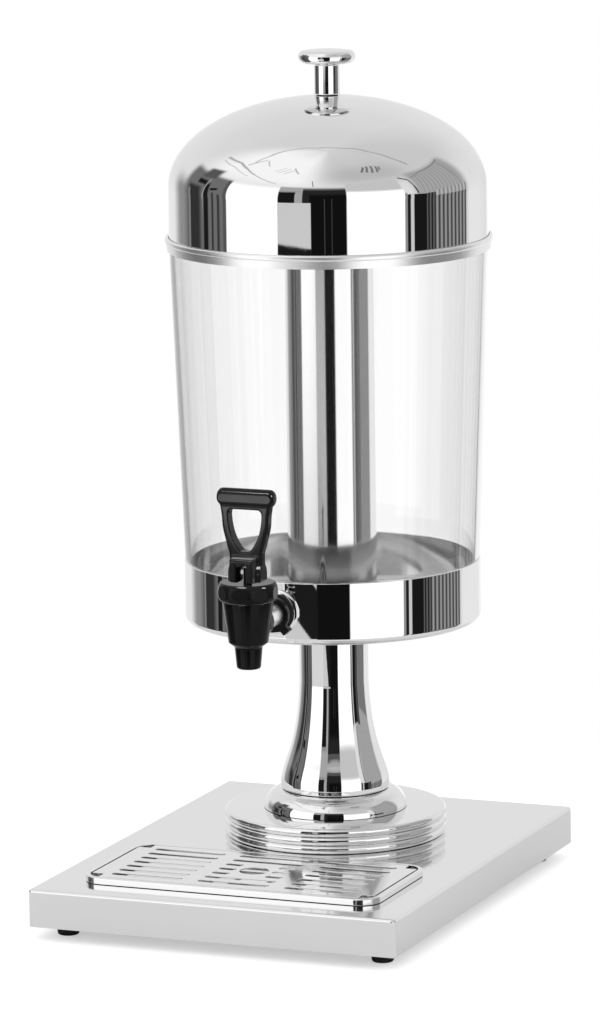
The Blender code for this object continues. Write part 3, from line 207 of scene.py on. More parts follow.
# Tap
SHANK_RADIUS = 7.95 * MM
SHANK_BORE = 4.5 * MM
SHANK_INNER_REACH = 85.5 * MM
SHANK_OUTER_REACH = 138.9 * MM
SHANK_HOLE = 8.3 * MM
TAP_BOSS_RADIUS = 10.6 * MM
TAP_BOSS_REACH = 20 * MM
BODY_TOP = 223.2 * MM
BODY_TOP_RADIUS = 17 * MM
BODY_FOOT = 195.5 * MM
BODY_FOOT_RADIUS = 13.2 * MM
BODY_CHAMFER = 3 * MM
BODY_WALL = 2.8 * MM
BODY_SEAT = 198.5 * MM
BODY_NECK_RADIUS = 15.6 * MM
BODY_NECK_HEIGHT = 8.3 * MM
SPOUT_TOP_RADIUS = 9.3 * MM
SPOUT_TIP_RADIUS = 8.1 * MM
SPOUT_BOTTOM = 177.8 * MM
SPOUT_ROUNDING = 1.5 * MM
OUTLET_RADIUS = 5.4 * MM
BONNET_Z = 223.5 * MM
BONNET_HEIGHT = 12.5 * MM
BONNET_FOOT_RADIUS = 17.2 * MM
BONNET_BULGE_RADIUS = 20 * MM
BONNET_BULGE_SHARE = 0.44
BONNET_TOP_RADIUS = 17.6 * MM
BONNET_SIDES = 8
BONNET_FLAT_INSET = 0.8 * MM
BONNET_TURN = math.radians(4.7)
BONNET_ROOF = 4.2 * MM
BONNET_BORE = 15.9 * MM
STEM_HOLE = 3.2 * MM
PIN_ABOVE_BONNET = 6.3 * MM
PIN_HOLE = 1.8 * MM
PIN_END = 8.6 * MM
CAM_LIFT_PER_RADIAN = 8 * MM
CAM_SWEEP = math.radians(32)
LEVER_PAD_WIDTH = 16.2 * MM
LEVER_TOP = 10.6 * MM
LEVER_CORNER = 1.5 * MM
LEVER_SLOT_WIDTH = 7.6 * MM
LEVER_SLOT_TOP = 7.3 * MM
LEVER_SLOT_BACK = 5.2 * MM
HUB_WIDTH = 23 * MM
HUB_RADIUS = 6.6 * MM
HUB_STEP = 0.4 * MM
HUB_STEPS = 32
LOOP_HALF_WIDTH = 18 * MM
LOOP_DEPTH = 8.4 * MM
LOOP_EDGE = 1.5 * MM
LOOP_STEPS = 4
LOOP_TOP = 46 * MM
LOOP_OPENING_HALF_WIDTH = 11.9 * MM
LOOP_OPENING_BOTTOM = 14.5 * MM
LOOP_OPENING_TOP = 42.4 * MM
# The loop's outer edge, as shares of its half width and of its height above the pin
LOOP_EDGE_SHARES = (
    (0.64, 0.08),
    (0.645, 0.275),
    (0.7, 0.35),
    (0.79, 0.485),
    (0.895, 0.66),
    (0.93, 0.84),
    (1.0, 1.0),
)
# The opening's edge, as shares of its half width and of the way from its bottom to its top
LOOP_OPENING_SHARES = (
    (0.0, 0.0),
    (0.26, 0.02),
    (0.47, 0.11),
    (0.75, 0.33),
    (0.91, 0.55),
    (1.0, 0.84),
    (0.95, 0.95),
    (0.82, 1.0),
)
BAR_HEIGHT = 50 * MM
BAR_RADIUS = 6 * MM
BAR_LENGTH = 40.6 * MM
BAR_ROUNDING = 4 * MM
BAR_FACE = 4.7 * MM
MOULD_VOXEL = 0.34 * MM
MOULD_SMOOTHING = 5
BONNET_SMOOTHING = 2
LEVER_SMOOTHING = 18
SPRING_RADIUS = 4.9 * MM
SPRING_WIRE_RADIUS = 0.5 * MM
SPRING_TURNS = 6
SPRING_BOTTOM = 209.5 * MM
SPRING_TOP = 231.5 * MM
ESCUTCHEON_RADIUS = 15.3 * MM
ESCUTCHEON_FRONT = 103.3 * MM
ESCUTCHEON_ROUNDING = 0.5 * MM
ESCUTCHEON_SLOPE = 1.2 * MM
OUTER_SEAL_RADIUS = 13 * MM
OUTER_SEAL_FRONT = 105.6 * MM
OUTER_NUT_START = 105.9 * MM
OUTER_NUT_RADIUS = 12 * MM
OUTER_NUT_HEIGHT = 6.5 * MM
OUTER_NUT_LUG_SPAN = 32 * MM
OUTER_NUT_LUG_WIDTH = 5.5 * MM
OUTER_NUT_TURN = math.radians(-48)

# Drip tray
TRAY_Z = 34.9 * MM
TRAY_Y = -94.5 * MM
TRAY_WIDTH = 210 * MM
TRAY_DEPTH = 104 * MM
TRAY_HEIGHT = 4.4 * MM
TRAY_CORNER = 15 * MM
TRAY_RIM = 3.2 * MM
TRAY_INSIDE_WIDTH = TRAY_WIDTH - 2 * TRAY_RIM
TRAY_INSIDE_DEPTH = TRAY_DEPTH - 2 * TRAY_RIM
TRAY_RIM_EDGE = 1.2 * MM
TRAY_EDGE_STEPS = 2
TRAY_FLOOR = 0.8 * MM
GRID_PLAY = 1.2 * MM
GRID_SHEET = 0.8 * MM
GRID_NOTCH = 8.5 * MM
GRID_EDGE = 0.3 * MM
SLOT_WIDTH = 5.6 * MM
SLOT_LENGTH = 50.6 * MM
SLOT_PITCH = 12.3 * MM
SLOT_ROWS = 7
SLOT_COLUMN_PITCH = 61.8 * MM
SHORT_SLOT_LENGTH = 12.4 * MM
SHORT_SLOT_ROWS = 1
FINGER_HOLE_RADIUS = 9.9 * MM

# Looks: noise scales are in lumps per metre, and a stretch says how much finer the noise is along X, Y and Z
NOISE_DETAIL = 3.0
NOISE_RANGE = (0.3, 0.7)
WAVE_SCALE = 22.0
WAVE_HEIGHT = 0.006 * MM
GRAIN_DETAIL = 4.0
GRAIN_HEIGHT = 0.02 * MM
SHADE_SPREAD = 0.02
MOULD_GRAIN_SCALE = 900.0
MOULD_GRAIN_DETAIL = 2.0
MOULD_SHADE_SCALE = 60.0
CLEAR_IOR = 1.5
CLEAR_SHADES = (0.985, 0.995)
CLEAR_ROUGHNESS = (0.0, 0.02)
HAZE_SCALE = 30.0
EVEN = (1, 1, 1)
TURNED = (1, 1, 60)
ROLLED = (1, 14, 14)
# Steels, by slot or use: name, shade, range of roughness, and the grain's scale, stretch and relief
STEELS = {
    "polished_steel": ("mirror_steel", 0.86, (0.004, 0.012), 700.0, EVEN, 0.003),
    "turned": ("turned_steel", 0.84, (0.06, 0.14), 300.0, TURNED, 0.03),
    "sheet": ("polished_sheet", 0.84, (0.05, 0.1), 160.0, ROLLED, 0.03),
    "tray": ("tray_steel", 0.85, (0.06, 0.11), 160.0, ROLLED, 0.04),
    "satin_steel": ("satin_steel", 0.84, (0.2, 0.32), 300.0, TURNED, 0.1),
    "hoop": ("hoop_steel", 0.93, (0.28, 0.4), 300.0, TURNED, 0.1),
    "inside": ("inside_steel", 0.78, (0.05, 0.1), 260.0, TURNED, 0.05),
    "zinc_steel": ("zinc_steel", 0.6, (0.3, 0.45), 500.0, EVEN, 0.2),
}
# Plastics, by slot: name, darkest and lightest shade, range of roughness, the grain's relief, and gloss
PLASTICS = {
    "black_plastic": ("black_plastic", 0.002, 0.004, (0.07, 0.13), 0.03, 0.1),
    "black_rubber": ("black_rubber", 0.006, 0.012, (0.5, 0.7), 0.3, 0.3),
    "silicone": ("white_silicone", 0.72, 0.8, (0.4, 0.55), 0.1, 0.5),
}

# Camera, as fitted to the photograph: the place is counted from the column's axis on the floor
CAMERA_AZIMUTH = math.radians(21.6492)
CAMERA_PAN = math.radians(0.3104)
CAMERA_DISTANCE = 4.0303
CAMERA_HEIGHT = 0.9756
CAMERA_PITCH = math.radians(10.0573)
CAMERA_ROLL = math.radians(-0.7345)
CAMERA_SENSOR = 36
CAMERA_LENS = 213.4

# Studio: a small white table, and what the metal reflects, by direction
FLOOR_RADIUS = 0.52
FLOOR_ROUNDING = 96
FLOOR_GLOW = 0.45
FLOOR_SHADES = (0.78, 0.8)
FLOOR_ROUGHNESS = 0.9
FLOOR_GLOSS = 0.1
FLOOR_GRAIN_SCALE = 40.0
WHITE = 1.0
ROOM_LEVEL = 0.95
SOFTBOX_LEVEL = 1.28
# A ray whose depth is above this has bounced
BOUNCED = 0.5
# Lamps round the tap's bar: name, azimuth from the front towards the right, elevation, distance, width,
# watts and height
LAMPS = (
    ("key", -40, 37, 3.1, 1.4, 8, 1.4),
    ("fill", 63, 34, 2.8, 1.4, 5, 1.4),
)
TAP_PLASTICS = ("tap_body", "tap_bonnet", "tap_lever", "tap_outer_nut")
# Small lamps that light pieces of the tap alone: the same values, and then those pieces
TAP_LAMPS = (
    ("tap_face", -22, -10.5, 0.6, 0.24, 0.3, 0.035, ("tap_lever",)),
    ("tap_top", -16, 58, 0.6, 0.3, 14, 0.2, TAP_PLASTICS),
    ("tap_right", 92, 24, 0.6, 0.14, 5, 0.14, TAP_PLASTICS),
)


# Shapes


def oval(centre_r, centre_z, reach, rise, start, end, steps=ARC_STEPS):
    """Points of an oval stretch in a profile, from start to end in degrees from the outward direction."""
    turn = [math.radians(start + (end - start) * i / steps) for i in range(steps + 1)]
    return [(centre_r + reach * math.cos(a), centre_z + rise * math.sin(a)) for a in turn]


def arc(centre_r, centre_z, radius, start, end, steps=ARC_STEPS):
    return oval(centre_r, centre_z, radius, radius, start, end, steps)


def foot_corner(radius, low, rounding):
    """The round corner at the foot of a profile that is that wide."""
    return arc(radius - rounding, low + rounding, rounding, DOWN, 0)


def turned(profile, sides=SIDES):
    """A closed profile of (radius, height) points spun about Z."""
    bm = bmesh.new()
    verts = [bm.verts.new((r, 0, z)) for r, z in profile]
    edges = [bm.edges.new((a, b)) for a, b in zip(verts, verts[1:] + verts[:1])]
    for edge in [e for e in edges if all(v.co.x == 0 for v in e.verts)]:
        bm.edges.remove(edge)
    bmesh.ops.spin(
        bm, geom=bm.verts[:] + bm.edges[:], cent=(0, 0, 0), axis=(0, 0, 1), angle=math.tau, steps=sides
    )
    return bm


def disc(radius, low, high, sides, hole=0.0):
    """A round plate, rod or ring that stands on Z."""
    if hole:
        return turned([(hole, low), (radius, low), (radius, high), (hole, high)], sides)
    return turned([(0, low), (radius, low), (radius, high), (0, high)], sides)


def prism(outline, low, high):
    """A flat outline of (x, y) points raised from low to high."""
    bm = bmesh.new()
    face = bm.faces.new([bm.verts.new((x, y, low)) for x, y in outline])
    raised = bmesh.ops.extrude_face_region(bm, geom=[face])["geom"]
    top = [v for v in raised if isinstance(v, bmesh.types.BMVert)]
    bmesh.ops.translate(bm, verts=top, vec=(0, 0, high - low))
    return bm


def slab(width, depth, corner, low, high, steps=ARC_STEPS):
    """A plate with round corners."""
    outline = []
    for quarter, (sx, sy) in enumerate(((1, 1), (-1, 1), (-1, -1), (1, -1))):
        x = sx * (width / 2 - corner)
        y = sy * (depth / 2 - corner)
        outline += arc(x, y, corner, UP * quarter, UP * (quarter + 1), steps)
    return prism(outline, low, high)


def softened(bm, height, width, steps=EDGE_STEPS):
    """Bevels the rim of the flat face at that height."""
    rim = [e for e in bm.edges if all(abs(v.co.z - height) < MERGE for v in e.verts)]
    bmesh.ops.bevel(bm, geom=rim, offset=width, segments=steps, profile=ROUND, affect="EDGES")
    return bm


def turned_by(bm, angle, axis):
    bmesh.ops.rotate(bm, verts=bm.verts, cent=(0, 0, 0), matrix=Matrix.Rotation(angle, 3, axis))
    return bm


def laid(bm):
    """Lays a shape that stands on Z along Y, so that its height runs forwards, towards -Y."""
    return turned_by(bm, math.pi / 2, "X")


def along_x(bm):
    return turned_by(bm, math.pi / 2, "Y")


def moved(bm, x=0.0, y=0.0, z=0.0):
    bmesh.ops.translate(bm, verts=bm.verts, vec=(x, y, z))
    return bm


def merged(parts):
    """Several separate shapes in one bmesh."""
    whole = bmesh.new()
    for part in parts:
        mesh = bpy.data.meshes.new("shape")
        bmesh.ops.recalc_face_normals(part, faces=part.faces)
        part.to_mesh(mesh)
        part.free()
        whole.from_mesh(mesh)
        bpy.data.meshes.remove(mesh)
    return whole


def curve_through(points, steps):
    """Points along a smooth curve through the given ones."""
    ends = [points[0]] + list(points) + [points[-1]]
    out = []
    for i in range(1, len(points)):
        before, start, end, after = (Vector(p) for p in ends[i - 1 : i + 3])
        for step in range(steps):
            t = step / steps
            pull = (end - before) * t + (2 * before - 5 * start + 4 * end - after) * t**2
            out.append(start + (pull + (3 * start - before - 3 * end + after) * t**3) / 2)
    return [tuple(p) for p in out] + [points[-1]]


# Objects


def mesh_object(name, bm, at=(0, 0, 0)):
    bmesh.ops.remove_doubles(bm, verts=bm.verts, dist=MERGE)
    bmesh.ops.recalc_face_normals(bm, faces=bm.faces)
    mesh = bpy.data.meshes.new(name)
    bm.to_mesh(mesh)
    bm.free()
    made = bpy.data.objects.new(name, mesh)
    made.location = at
    bpy.context.scene.collection.objects.link(made)
    return made


def settled(obj, cutters=()):
    """Applies the object's modifiers to its mesh and removes the shapes that they used."""
    graph = bpy.context.evaluated_depsgraph_get()
    mesh = bpy.data.meshes.new_from_object(obj.evaluated_get(graph))
    obj.modifiers.clear()
    old = obj.data
    obj.data = mesh
    bpy.data.meshes.remove(old)
    mesh.name = obj.name
    for cutter in cutters:
        bpy.data.objects.remove(cutter)
    return obj


def built(name, bm, at, joins=(), cuts=(), keeps=()):
    """A shape with others joined to it, then cut from it, then kept only where it meets others."""
    obj = mesh_object(f"{name}_form", bm, at)
    used = []
    for operation, shapes in (("UNION", joins), ("DIFFERENCE", cuts), ("INTERSECT", keeps)):
        for shape in shapes:
            used.append(mesh_object(f"{name}_{operation.lower()}_{len(used)}", shape, at))
            step = obj.modifiers.new(used[-1].name, "BOOLEAN")
            step.operation = operation
            step.object = used[-1]
    return settled(obj, used) if used else obj


def moulded(obj, smoothing=MOULD_SMOOTHING):
    """Softens every edge, as a plastic moulding's are."""
    remesh = obj.modifiers.new("remesh", "REMESH")
    remesh.mode = "VOXEL"
    remesh.voxel_size = MOULD_VOXEL
    smooth = obj.modifiers.new("smooth", "SMOOTH")
    smooth.iterations = smoothing
    return settled(obj)


def bevelled(obj, width, steps=RIM_STEPS):
    bevel = obj.modifiers.new("bevel", "BEVEL")
    bevel.width = width
    bevel.segments = steps
    bevel.limit_method = "ANGLE"
    bevel.angle_limit = SMOOTH_ANGLE
    return settled(obj)


def shaded(obj):
    """Smooth shading in which broad faces stay flat up to their rounded edges."""
    obj.data.shade_smooth()
    obj.data.set_sharp_from_angle(angle=SMOOTH_ANGLE)
    weighted = obj.modifiers.new("weighted", "WEIGHTED_NORMAL")
    weighted.keep_sharp = True
    return settled(obj)


def own(look, name):
    """A material of its own for a piece, so that its look can be changed alone."""
    made = LOOKS[look].copy()
    made.name = f"{name}_{LOOKS[look].name}"
    return made


def dressed(obj, node, body="root", look=None, soft=False):
    """Lets a piece stand for a node of the model; its look is its slot's unless another is named."""
    obj.data.materials.clear()
    obj.data.materials.append(own(look or SLOTS[node], node))
    if soft:
        obj.data.shade_smooth()
    else:
        shaded(obj)
    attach(obj, body)
    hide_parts(node)
    return obj


def on_column(name, profile, body="root", look=None, sides=SIDES, cuts=()):
    piece = built(name, turned(profile, sides), (0, COLUMN_Y, 0), cuts=cuts)
    return dressed(piece, name, body, look)


# Nodes


def grey(level):
    return (level, level, level, 1)


class Tree:
    """Short ways to build the nodes of a material or of the studio."""

    def __init__(self, owner):
        owner.use_nodes = True
        self.nodes = owner.node_tree.nodes
        self.links = owner.node_tree.links

    def feed(self, node, inputs):
        """Sets each input to a constant, or links it to another node's output."""
        for key, value in inputs.items():
            if isinstance(value, bpy.types.NodeSocket):
                self.links.new(value, node.inputs[key])
            else:
                node.inputs[key].default_value = value

    def add(self, kind, output, inputs, **settings):
        """Adds a node, with its settings first, and returns one of its outputs."""
        node = self.nodes.new(f"ShaderNode{kind}")
        for name, value in settings.items():
            setattr(node, name, value)
        self.feed(node, inputs)
        return node.outputs[output]

    def noise(self, scale, detail=NOISE_DETAIL, stretch=EVEN):
        """A noise value over the object, stretched along its axes."""
        place = self.add("TexCoord", "Object", {})
        spread = self.add("Mapping", "Vector", {"Vector": place, "Scale": stretch})
        return self.add("TexNoise", "Fac", {"Vector": spread, "Scale": scale, "Detail": detail})

    def ranged(self, value, low, high):
        """Maps a noise value's usual range onto low and high."""
        return self.add("MapRange", "Result", dict(enumerate((value, *NOISE_RANGE, low, high))))

    def blended(self, factor, low, high):
        """A grey between two levels, by a factor."""
        inputs = {"Factor": factor, "A": grey(low), "B": grey(high)}
        return self.add("Mix", "Result", inputs, data_type="RGBA")

    def bump(self, height, strength, distance, under=None):
        inputs = {"Height": height, "Strength": strength, "Distance": distance}
        if under:
            inputs["Normal"] = under
        return self.add("Bump", "Normal", inputs)

    def do(self, operation, *values):
        return self.add("Math", "Value", dict(enumerate(values)), operation=operation)

    def step(self, value, edge, softness, low, high):
        """Goes from low to high as the value passes the edge."""
        inputs = dict(enumerate((value, edge - softness, edge + softness, low, high)))
        return self.add("MapRange", "Result", inputs, interpolation_type="SMOOTHSTEP")

    def outside(self, across, left, right, side, upwards, low, high, end):
        """Zero inside a rectangle and one outside it."""
        sides = self.do("MULTIPLY", self.step(across, left, side, 0, 1), self.step(across, right, side, 1, 0))
        ends = self.do("MULTIPLY", self.step(upwards, low, end, 0, 1), self.step(upwards, high, end, -1, 0))
        return self.do("MULTIPLY_ADD", sides, ends, 1)

    def light(self, level):
        return self.add("Background", "Background", {"Color": grey(1.0), "Strength": level})

    def choice(self, factor, low, high):
        """One light where the factor is zero and another where it is one."""
        return self.add("MixShader", "Shader", {0: factor, 1: low, 2: high})


# Materials


def surface(name, feeds):
    """A material, and what feeds its shader, from a function of its nodes."""
    made = bpy.data.materials.new(name)
    tree = Tree(made)
    tree.feed(tree.nodes["Principled BSDF"], feeds(tree))
    return made


def metal(name, shade, roughness, grain, stretch, relief):
    """Steel with a slight variation of shade and gloss, a faint waviness and a fine grain."""

    def feeds(tree):
        broad = tree.noise(WAVE_SCALE)
        fine = tree.noise(grain, GRAIN_DETAIL, stretch)
        wave = tree.bump(broad, 1.0, WAVE_HEIGHT)
        return {
            "Metallic": 1.0,
            "Base Color": tree.blended(broad, shade - SHADE_SPREAD, shade + SHADE_SPREAD),
            "Roughness": tree.ranged(fine, *roughness),
            "Normal": tree.bump(fine, relief, GRAIN_HEIGHT, wave),
        }

    return surface(name, feeds)


def clear_plastic(tree):
    haze = tree.noise(HAZE_SCALE)
    return {
        "IOR": CLEAR_IOR,
        "Transmission Weight": 1.0,
        "Base Color": tree.blended(haze, *CLEAR_SHADES),
        "Roughness": tree.ranged(haze, *CLEAR_ROUGHNESS),
    }


def plastic(name, dark, light, roughness, relief, gloss):
    def feeds(tree):
        fine = tree.noise(MOULD_GRAIN_SCALE, MOULD_GRAIN_DETAIL)
        broad = tree.noise(MOULD_SHADE_SCALE)
        return {
            "Specular IOR Level": gloss,
            "Base Color": tree.blended(broad, dark, light),
            "Roughness": tree.ranged(broad, *roughness),
            "Normal": tree.bump(fine, relief, GRAIN_HEIGHT),
        }

    return surface(name, feeds)


def materials():
    looks = {name: metal(*values) for name, values in STEELS.items()}
    looks["clear_polycarbonate"] = surface("clear_plastic", clear_plastic)
    looks.update({name: plastic(*values) for name, values in PLASTICS.items()})
    return looks


# Base and column


def base_pan():
    low = BASE_BOTTOM
    sheet = BASE_SHEET
    outer = softened(slab(BASE_WIDTH, BASE_DEPTH, BASE_CORNER, low, BASE_TOP), BASE_TOP, BASE_EDGE)
    width = BASE_WIDTH - 2 * sheet
    depth = BASE_DEPTH - 2 * sheet
    hollow = slab(width, depth, BASE_CORNER - sheet, low + sheet, BASE_TOP - sheet)
    width -= 2 * BASE_LIP
    depth -= 2 * BASE_LIP
    mouth = slab(width, depth, BASE_CORNER, low - OVERRUN, low + sheet + OVERRUN)
    rod_hole = moved(disc(ROD_HOLE, BASE_TOP - OVERRUN, BASE_TOP + OVERRUN, SMALL_SIDES), y=COLUMN_Y)
    seams = []
    for sx in (-1, 1):
        for sy in (-1, 1):
            seam = slab(2 * SEAM_DEPTH, SEAM_WIDTH, SEAM_CORNER, low - OVERRUN, BASE_TOP - BASE_EDGE, 1)
            seams.append(moved(seam, sx * BASE_WIDTH / 2, sy * (BASE_DEPTH / 2 - SEAM_INSET)))
    pan = built("base_pan", outer, (0, 0, 0), cuts=(hollow, mouth, rod_hole, merged(seams)))
    dressed(pan, "base_pan", look="sheet")


def feet():
    top = BASE_BOTTOM - GAP
    tip = FOOT_RADIUS - FOOT_TAPER
    profile = [(FOOT_RECESS, 0)] + foot_corner(tip, 0, FOOT_ROUNDING)
    profile += [(FOOT_RADIUS, top), (FOOT_BORE, top)]
    profile += [(FOOT_BORE, FOOT_RECESS_DEPTH), (FOOT_RECESS, FOOT_RECESS_DEPTH)]
    for end, y in (("front", -FOOT_Y), ("rear", FOOT_Y)):
        for side, x in (("left", -FOOT_X), ("right", FOOT_X)):
            foot = built(f"foot_{end}_{side}", turned(profile, SMALL_SIDES), (x, y, 0))
            dressed(foot, f"foot_{end}_{side}")


def plinth_disc():
    ridge = PLINTH_HEIGHT / PLINTH_RIDGES
    valley = PLINTH_RADIUS - PLINTH_GROOVE
    outer = []
    for i in range(PLINTH_RIDGES):
        middle = PLINTH_Z + (i + 0.5) * ridge
        outer += oval(valley, middle, PLINTH_GROOVE, ridge / 2, DOWN, UP, 2 * ARC_STEPS)
    inner = valley - PLINTH_WALL
    top = PLINTH_Z + PLINTH_HEIGHT
    roof = top - PLINTH_WALL
    profile = [(inner, PLINTH_Z)] + outer + [(ROD_HOLE, top), (ROD_HOLE, roof), (inner, roof)]
    on_column("plinth_disc", profile)


def column_foot():
    reach = BULGE_RADIUS - BULGE_TOP_RADIUS
    bulge = oval(BULGE_TOP_RADIUS, BULGE_Z, reach, BULGE_HEIGHT, 0, UP, 2 * ARC_STEPS)
    top = BULGE_Z + BULGE_HEIGHT
    roof = top - BULGE_WALL
    inside = BULGE_RADIUS - BULGE_WALL
    hollow = [(ROD_HOLE, top), (ROD_HOLE, roof), (BULGE_TOP_RADIUS - BULGE_WALL, roof)]
    hollow += [(inside - reach * BULGE_SLANT_SHARE, BULGE_Z + BULGE_HEIGHT / 2), (inside, BULGE_Z)]
    on_column("column_foot", bulge + hollow)


def column_tube():
    flare = COLUMN_BELL_RADIUS - COLUMN_RADIUS
    start = COLUMN_Z + COLUMN_LIP_HEIGHT
    bell = [(COLUMN_RADIUS + flare * wide, start + COLUMN_BELL_HEIGHT * high) for high, wide in BELL_SHARES]
    lip = foot_corner(COLUMN_BELL_RADIUS, COLUMN_Z, COLUMN_LIP_ROUNDING)
    outer = lip + curve_through(bell, BELL_STEPS) + [(COLUMN_RADIUS, COLUMN_TOP)]
    inner = [(r - COLUMN_WALL, z) for r, z in outer if z == outer[0][1] or z >= start]
    on_column("column", outer + inner[::-1])


# Cup, vessel and ice tube


def on_shank(low_reach, high_reach, radius=SHANK_HOLE, sides=HOLE_SIDES):
    """A round shape along the tap's shank, between two distances forwards."""
    return moved(laid(disc(radius, low_reach, high_reach, sides)), z=SHANK_Z)


def base_cup():
    inner = CUP_RADIUS - CUP_SHEET
    corner = CUP_RADIUS - CUP_CORNER
    top = CUP_Z + CUP_HEIGHT
    middle = CUP_RADIUS - CUP_SHEET / 2
    profile = (
        [(0, CUP_Z)]
        + foot_corner(CUP_RADIUS, CUP_Z, CUP_CORNER)
        + arc(middle, top - CUP_SHEET / 2, CUP_SHEET / 2, 0, INWARD)
        + arc(corner, CUP_Z + CUP_CORNER, CUP_CORNER - CUP_SHEET, 0, DOWN)
        + [(0, CUP_Z + CUP_SHEET)]
    )
    hole = on_shank(inner - CUP_CORNER, CUP_RADIUS + OVERRUN)
    cup = on_column("base_cup", profile, cuts=[hole])
    cup.data.materials.append(own("inside", "base_cup"))
    for face in cup.data.polygons:
        outwards = Vector((face.center.x, face.center.y, 0))
        floor = face.normal.z > CUP_INSIDE_SHARE and outwards.length < corner
        wall = face.normal.dot(outwards.normalized()) < -CUP_INSIDE_SHARE
        if floor or (wall and face.center.z > CUP_Z + CUP_SHEET):
            face.material_index = 1


def vessel():
    floor = VESSEL_Z + VESSEL_FLOOR
    taper = VESSEL_SHOULDER_Z + VESSEL_SHOULDER_HEIGHT
    socket = SOCKET_RADIUS + SOCKET_WALL
    inner_corner = VESSEL_INNER_RADIUS - VESSEL_INNER_CORNER
    rim = VESSEL_RIM
    inside_top = VESSEL_TOP_RADIUS - VESSEL_WALL
    profile = (
        [(0, VESSEL_Z)]
        + foot_corner(VESSEL_CUP_RADIUS, VESSEL_Z, VESSEL_CORNER)
        + [(VESSEL_CUP_RADIUS, VESSEL_SHOULDER_Z), (VESSEL_SHOULDER_RADIUS, VESSEL_SHOULDER_Z)]
        + [(VESSEL_SHOULDER_RADIUS, taper)]
        + arc(VESSEL_TOP_RADIUS - rim, VESSEL_TOP - rim, rim, 0, UP, RIM_STEPS)
        + arc(inside_top + rim, VESSEL_TOP - rim, rim, UP, INWARD, RIM_STEPS)
        + [(VESSEL_INNER_RADIUS, taper)]
        + arc(inner_corner, floor + VESSEL_INNER_CORNER, VESSEL_INNER_CORNER, 0, DOWN)
        + [(socket, floor), (socket, floor + SOCKET_HEIGHT)]
        + [(SOCKET_RADIUS, floor + SOCKET_HEIGHT), (SOCKET_RADIUS, floor), (0, floor)]
    )
    hole = on_shank(VESSEL_INNER_RADIUS - OVERRUN, VESSEL_CUP_RADIUS + OVERRUN)
    piece = on_column("vessel", profile, cuts=[hole])
    # Light on its way between the steel walls passes the vessel straight on
    piece.visible_glossy = False
    piece.visible_diffuse = False
    piece.visible_shadow = False


def ice_tube():
    inner = ICE_TUBE_RADIUS - ICE_TUBE_WALL
    floor = ICE_TUBE_Z + ICE_TUBE_FLOOR
    bead = ICE_TUBE_BEAD
    profile = (
        [(0, ICE_TUBE_Z)]
        + foot_corner(ICE_TUBE_RADIUS, ICE_TUBE_Z, ICE_TUBE_CORNER)
        + arc(ICE_TUBE_RADIUS, ICE_TUBE_TOP - bead, bead, DOWN, UP)
        + [(inner, ICE_TUBE_TOP), (inner, floor), (0, floor)]
    )
    on_column("ice_tube", profile, "ice_tube", "turned")


# Lid


def half_dome(radius, rise, hole):
    """The dome's curve from its skirt up to a hole round its axis."""
    return oval(0, DOME_SKIRT_TOP, radius, rise, 0, math.degrees(math.acos(hole / radius)), DOME_STEPS)


def lid_dome():
    outside = half_dome(DOME_RADIUS, DOME_RISE, SCREW_HOLE)
    inside = half_dome(DOME_RADIUS - DOME_SHEET, DOME_RISE - DOME_SHEET, WASHER_SEAT)
    inside.append((SCREW_HOLE, inside[-1][1]))
    profile = [(DOME_RADIUS - DOME_SHEET, LID_Z), (DOME_RADIUS, LID_Z)] + outside + inside[::-1]
    on_column("lid_dome", profile, "lid")


def lid_rim():
    inner = DOME_RADIUS + GAP
    top = HOOP_Z + HOOP_HEIGHT
    half = HOOP_BEAD_HEIGHT / 2
    reach = HOOP_BEAD_REACH - HOOP_NECK_WALL
    bead = oval(inner + HOOP_NECK_WALL, top - half, reach, half, DOWN, UP, 2 * ARC_STEPS)
    profile = [(inner, HOOP_Z), (inner + HOOP_BOTTOM_WALL, HOOP_Z)] + bead + [(inner, top)]
    on_column("lid_rim", profile, "lid", "hoop")


def lid_knob():
    stem_top = KNOB_Z + KNOB_STEM_HEIGHT
    top = stem_top + KNOB_HEIGHT
    corner = KNOB_RADIUS - KNOB_EDGE
    stem = KNOB_STEM_RADIUS
    thread = KNOB_Z + KNOB_THREAD_DEPTH
    flare = KNOB_STEM_FLARE
    foot = arc(stem + flare, KNOB_Z + flare, flare, DOWN, -INWARD, EDGE_STEPS)
    shares = [1 - i / ARC_STEPS for i in range(1, ARC_STEPS)]
    crown = [(corner * share, top - KNOB_CROWN * share**2) for share in shares]
    recess = stem - KNOB_SKIRT_WALL
    recess_top = KNOB_Z + KNOB_SEAL_THICKNESS + GAP
    profile = (
        [(SCREW_HOLE, recess_top), (recess, recess_top), (recess, KNOB_Z)]
        + foot
        + [(stem, stem_top), (stem + KNOB_NECK, stem_top + KNOB_NECK)]
        + arc(corner, top - KNOB_CROWN - KNOB_EDGE, KNOB_EDGE, KNOB_EDGE_START, UP)
        + crown
        + [(0, top), (0, thread), (SCREW_HOLE, thread)]
    )
    on_column("lid_knob", profile, "lid", sides=SMALL_SIDES)


def lid_knob_seal():
    rounding = KNOB_SEAL_THICKNESS / 2
    radius = KNOB_STEM_RADIUS - KNOB_SKIRT_WALL - GAP
    rim = arc(radius - rounding, KNOB_Z + rounding, rounding, DOWN, UP)
    profile = [(SCREW_HOLE, KNOB_Z)] + rim + [(SCREW_HOLE, KNOB_Z + KNOB_SEAL_THICKNESS)]
    on_column("lid_knob_seal", profile, "lid", sides=SMALL_SIDES)


# Tap


def body_taper(z):
    """The body's outer radius at a height."""
    share = (z - BODY_FOOT) / (BODY_TOP - BODY_FOOT)
    return BODY_FOOT_RADIUS + (BODY_TOP_RADIUS - BODY_FOOT_RADIUS) * share


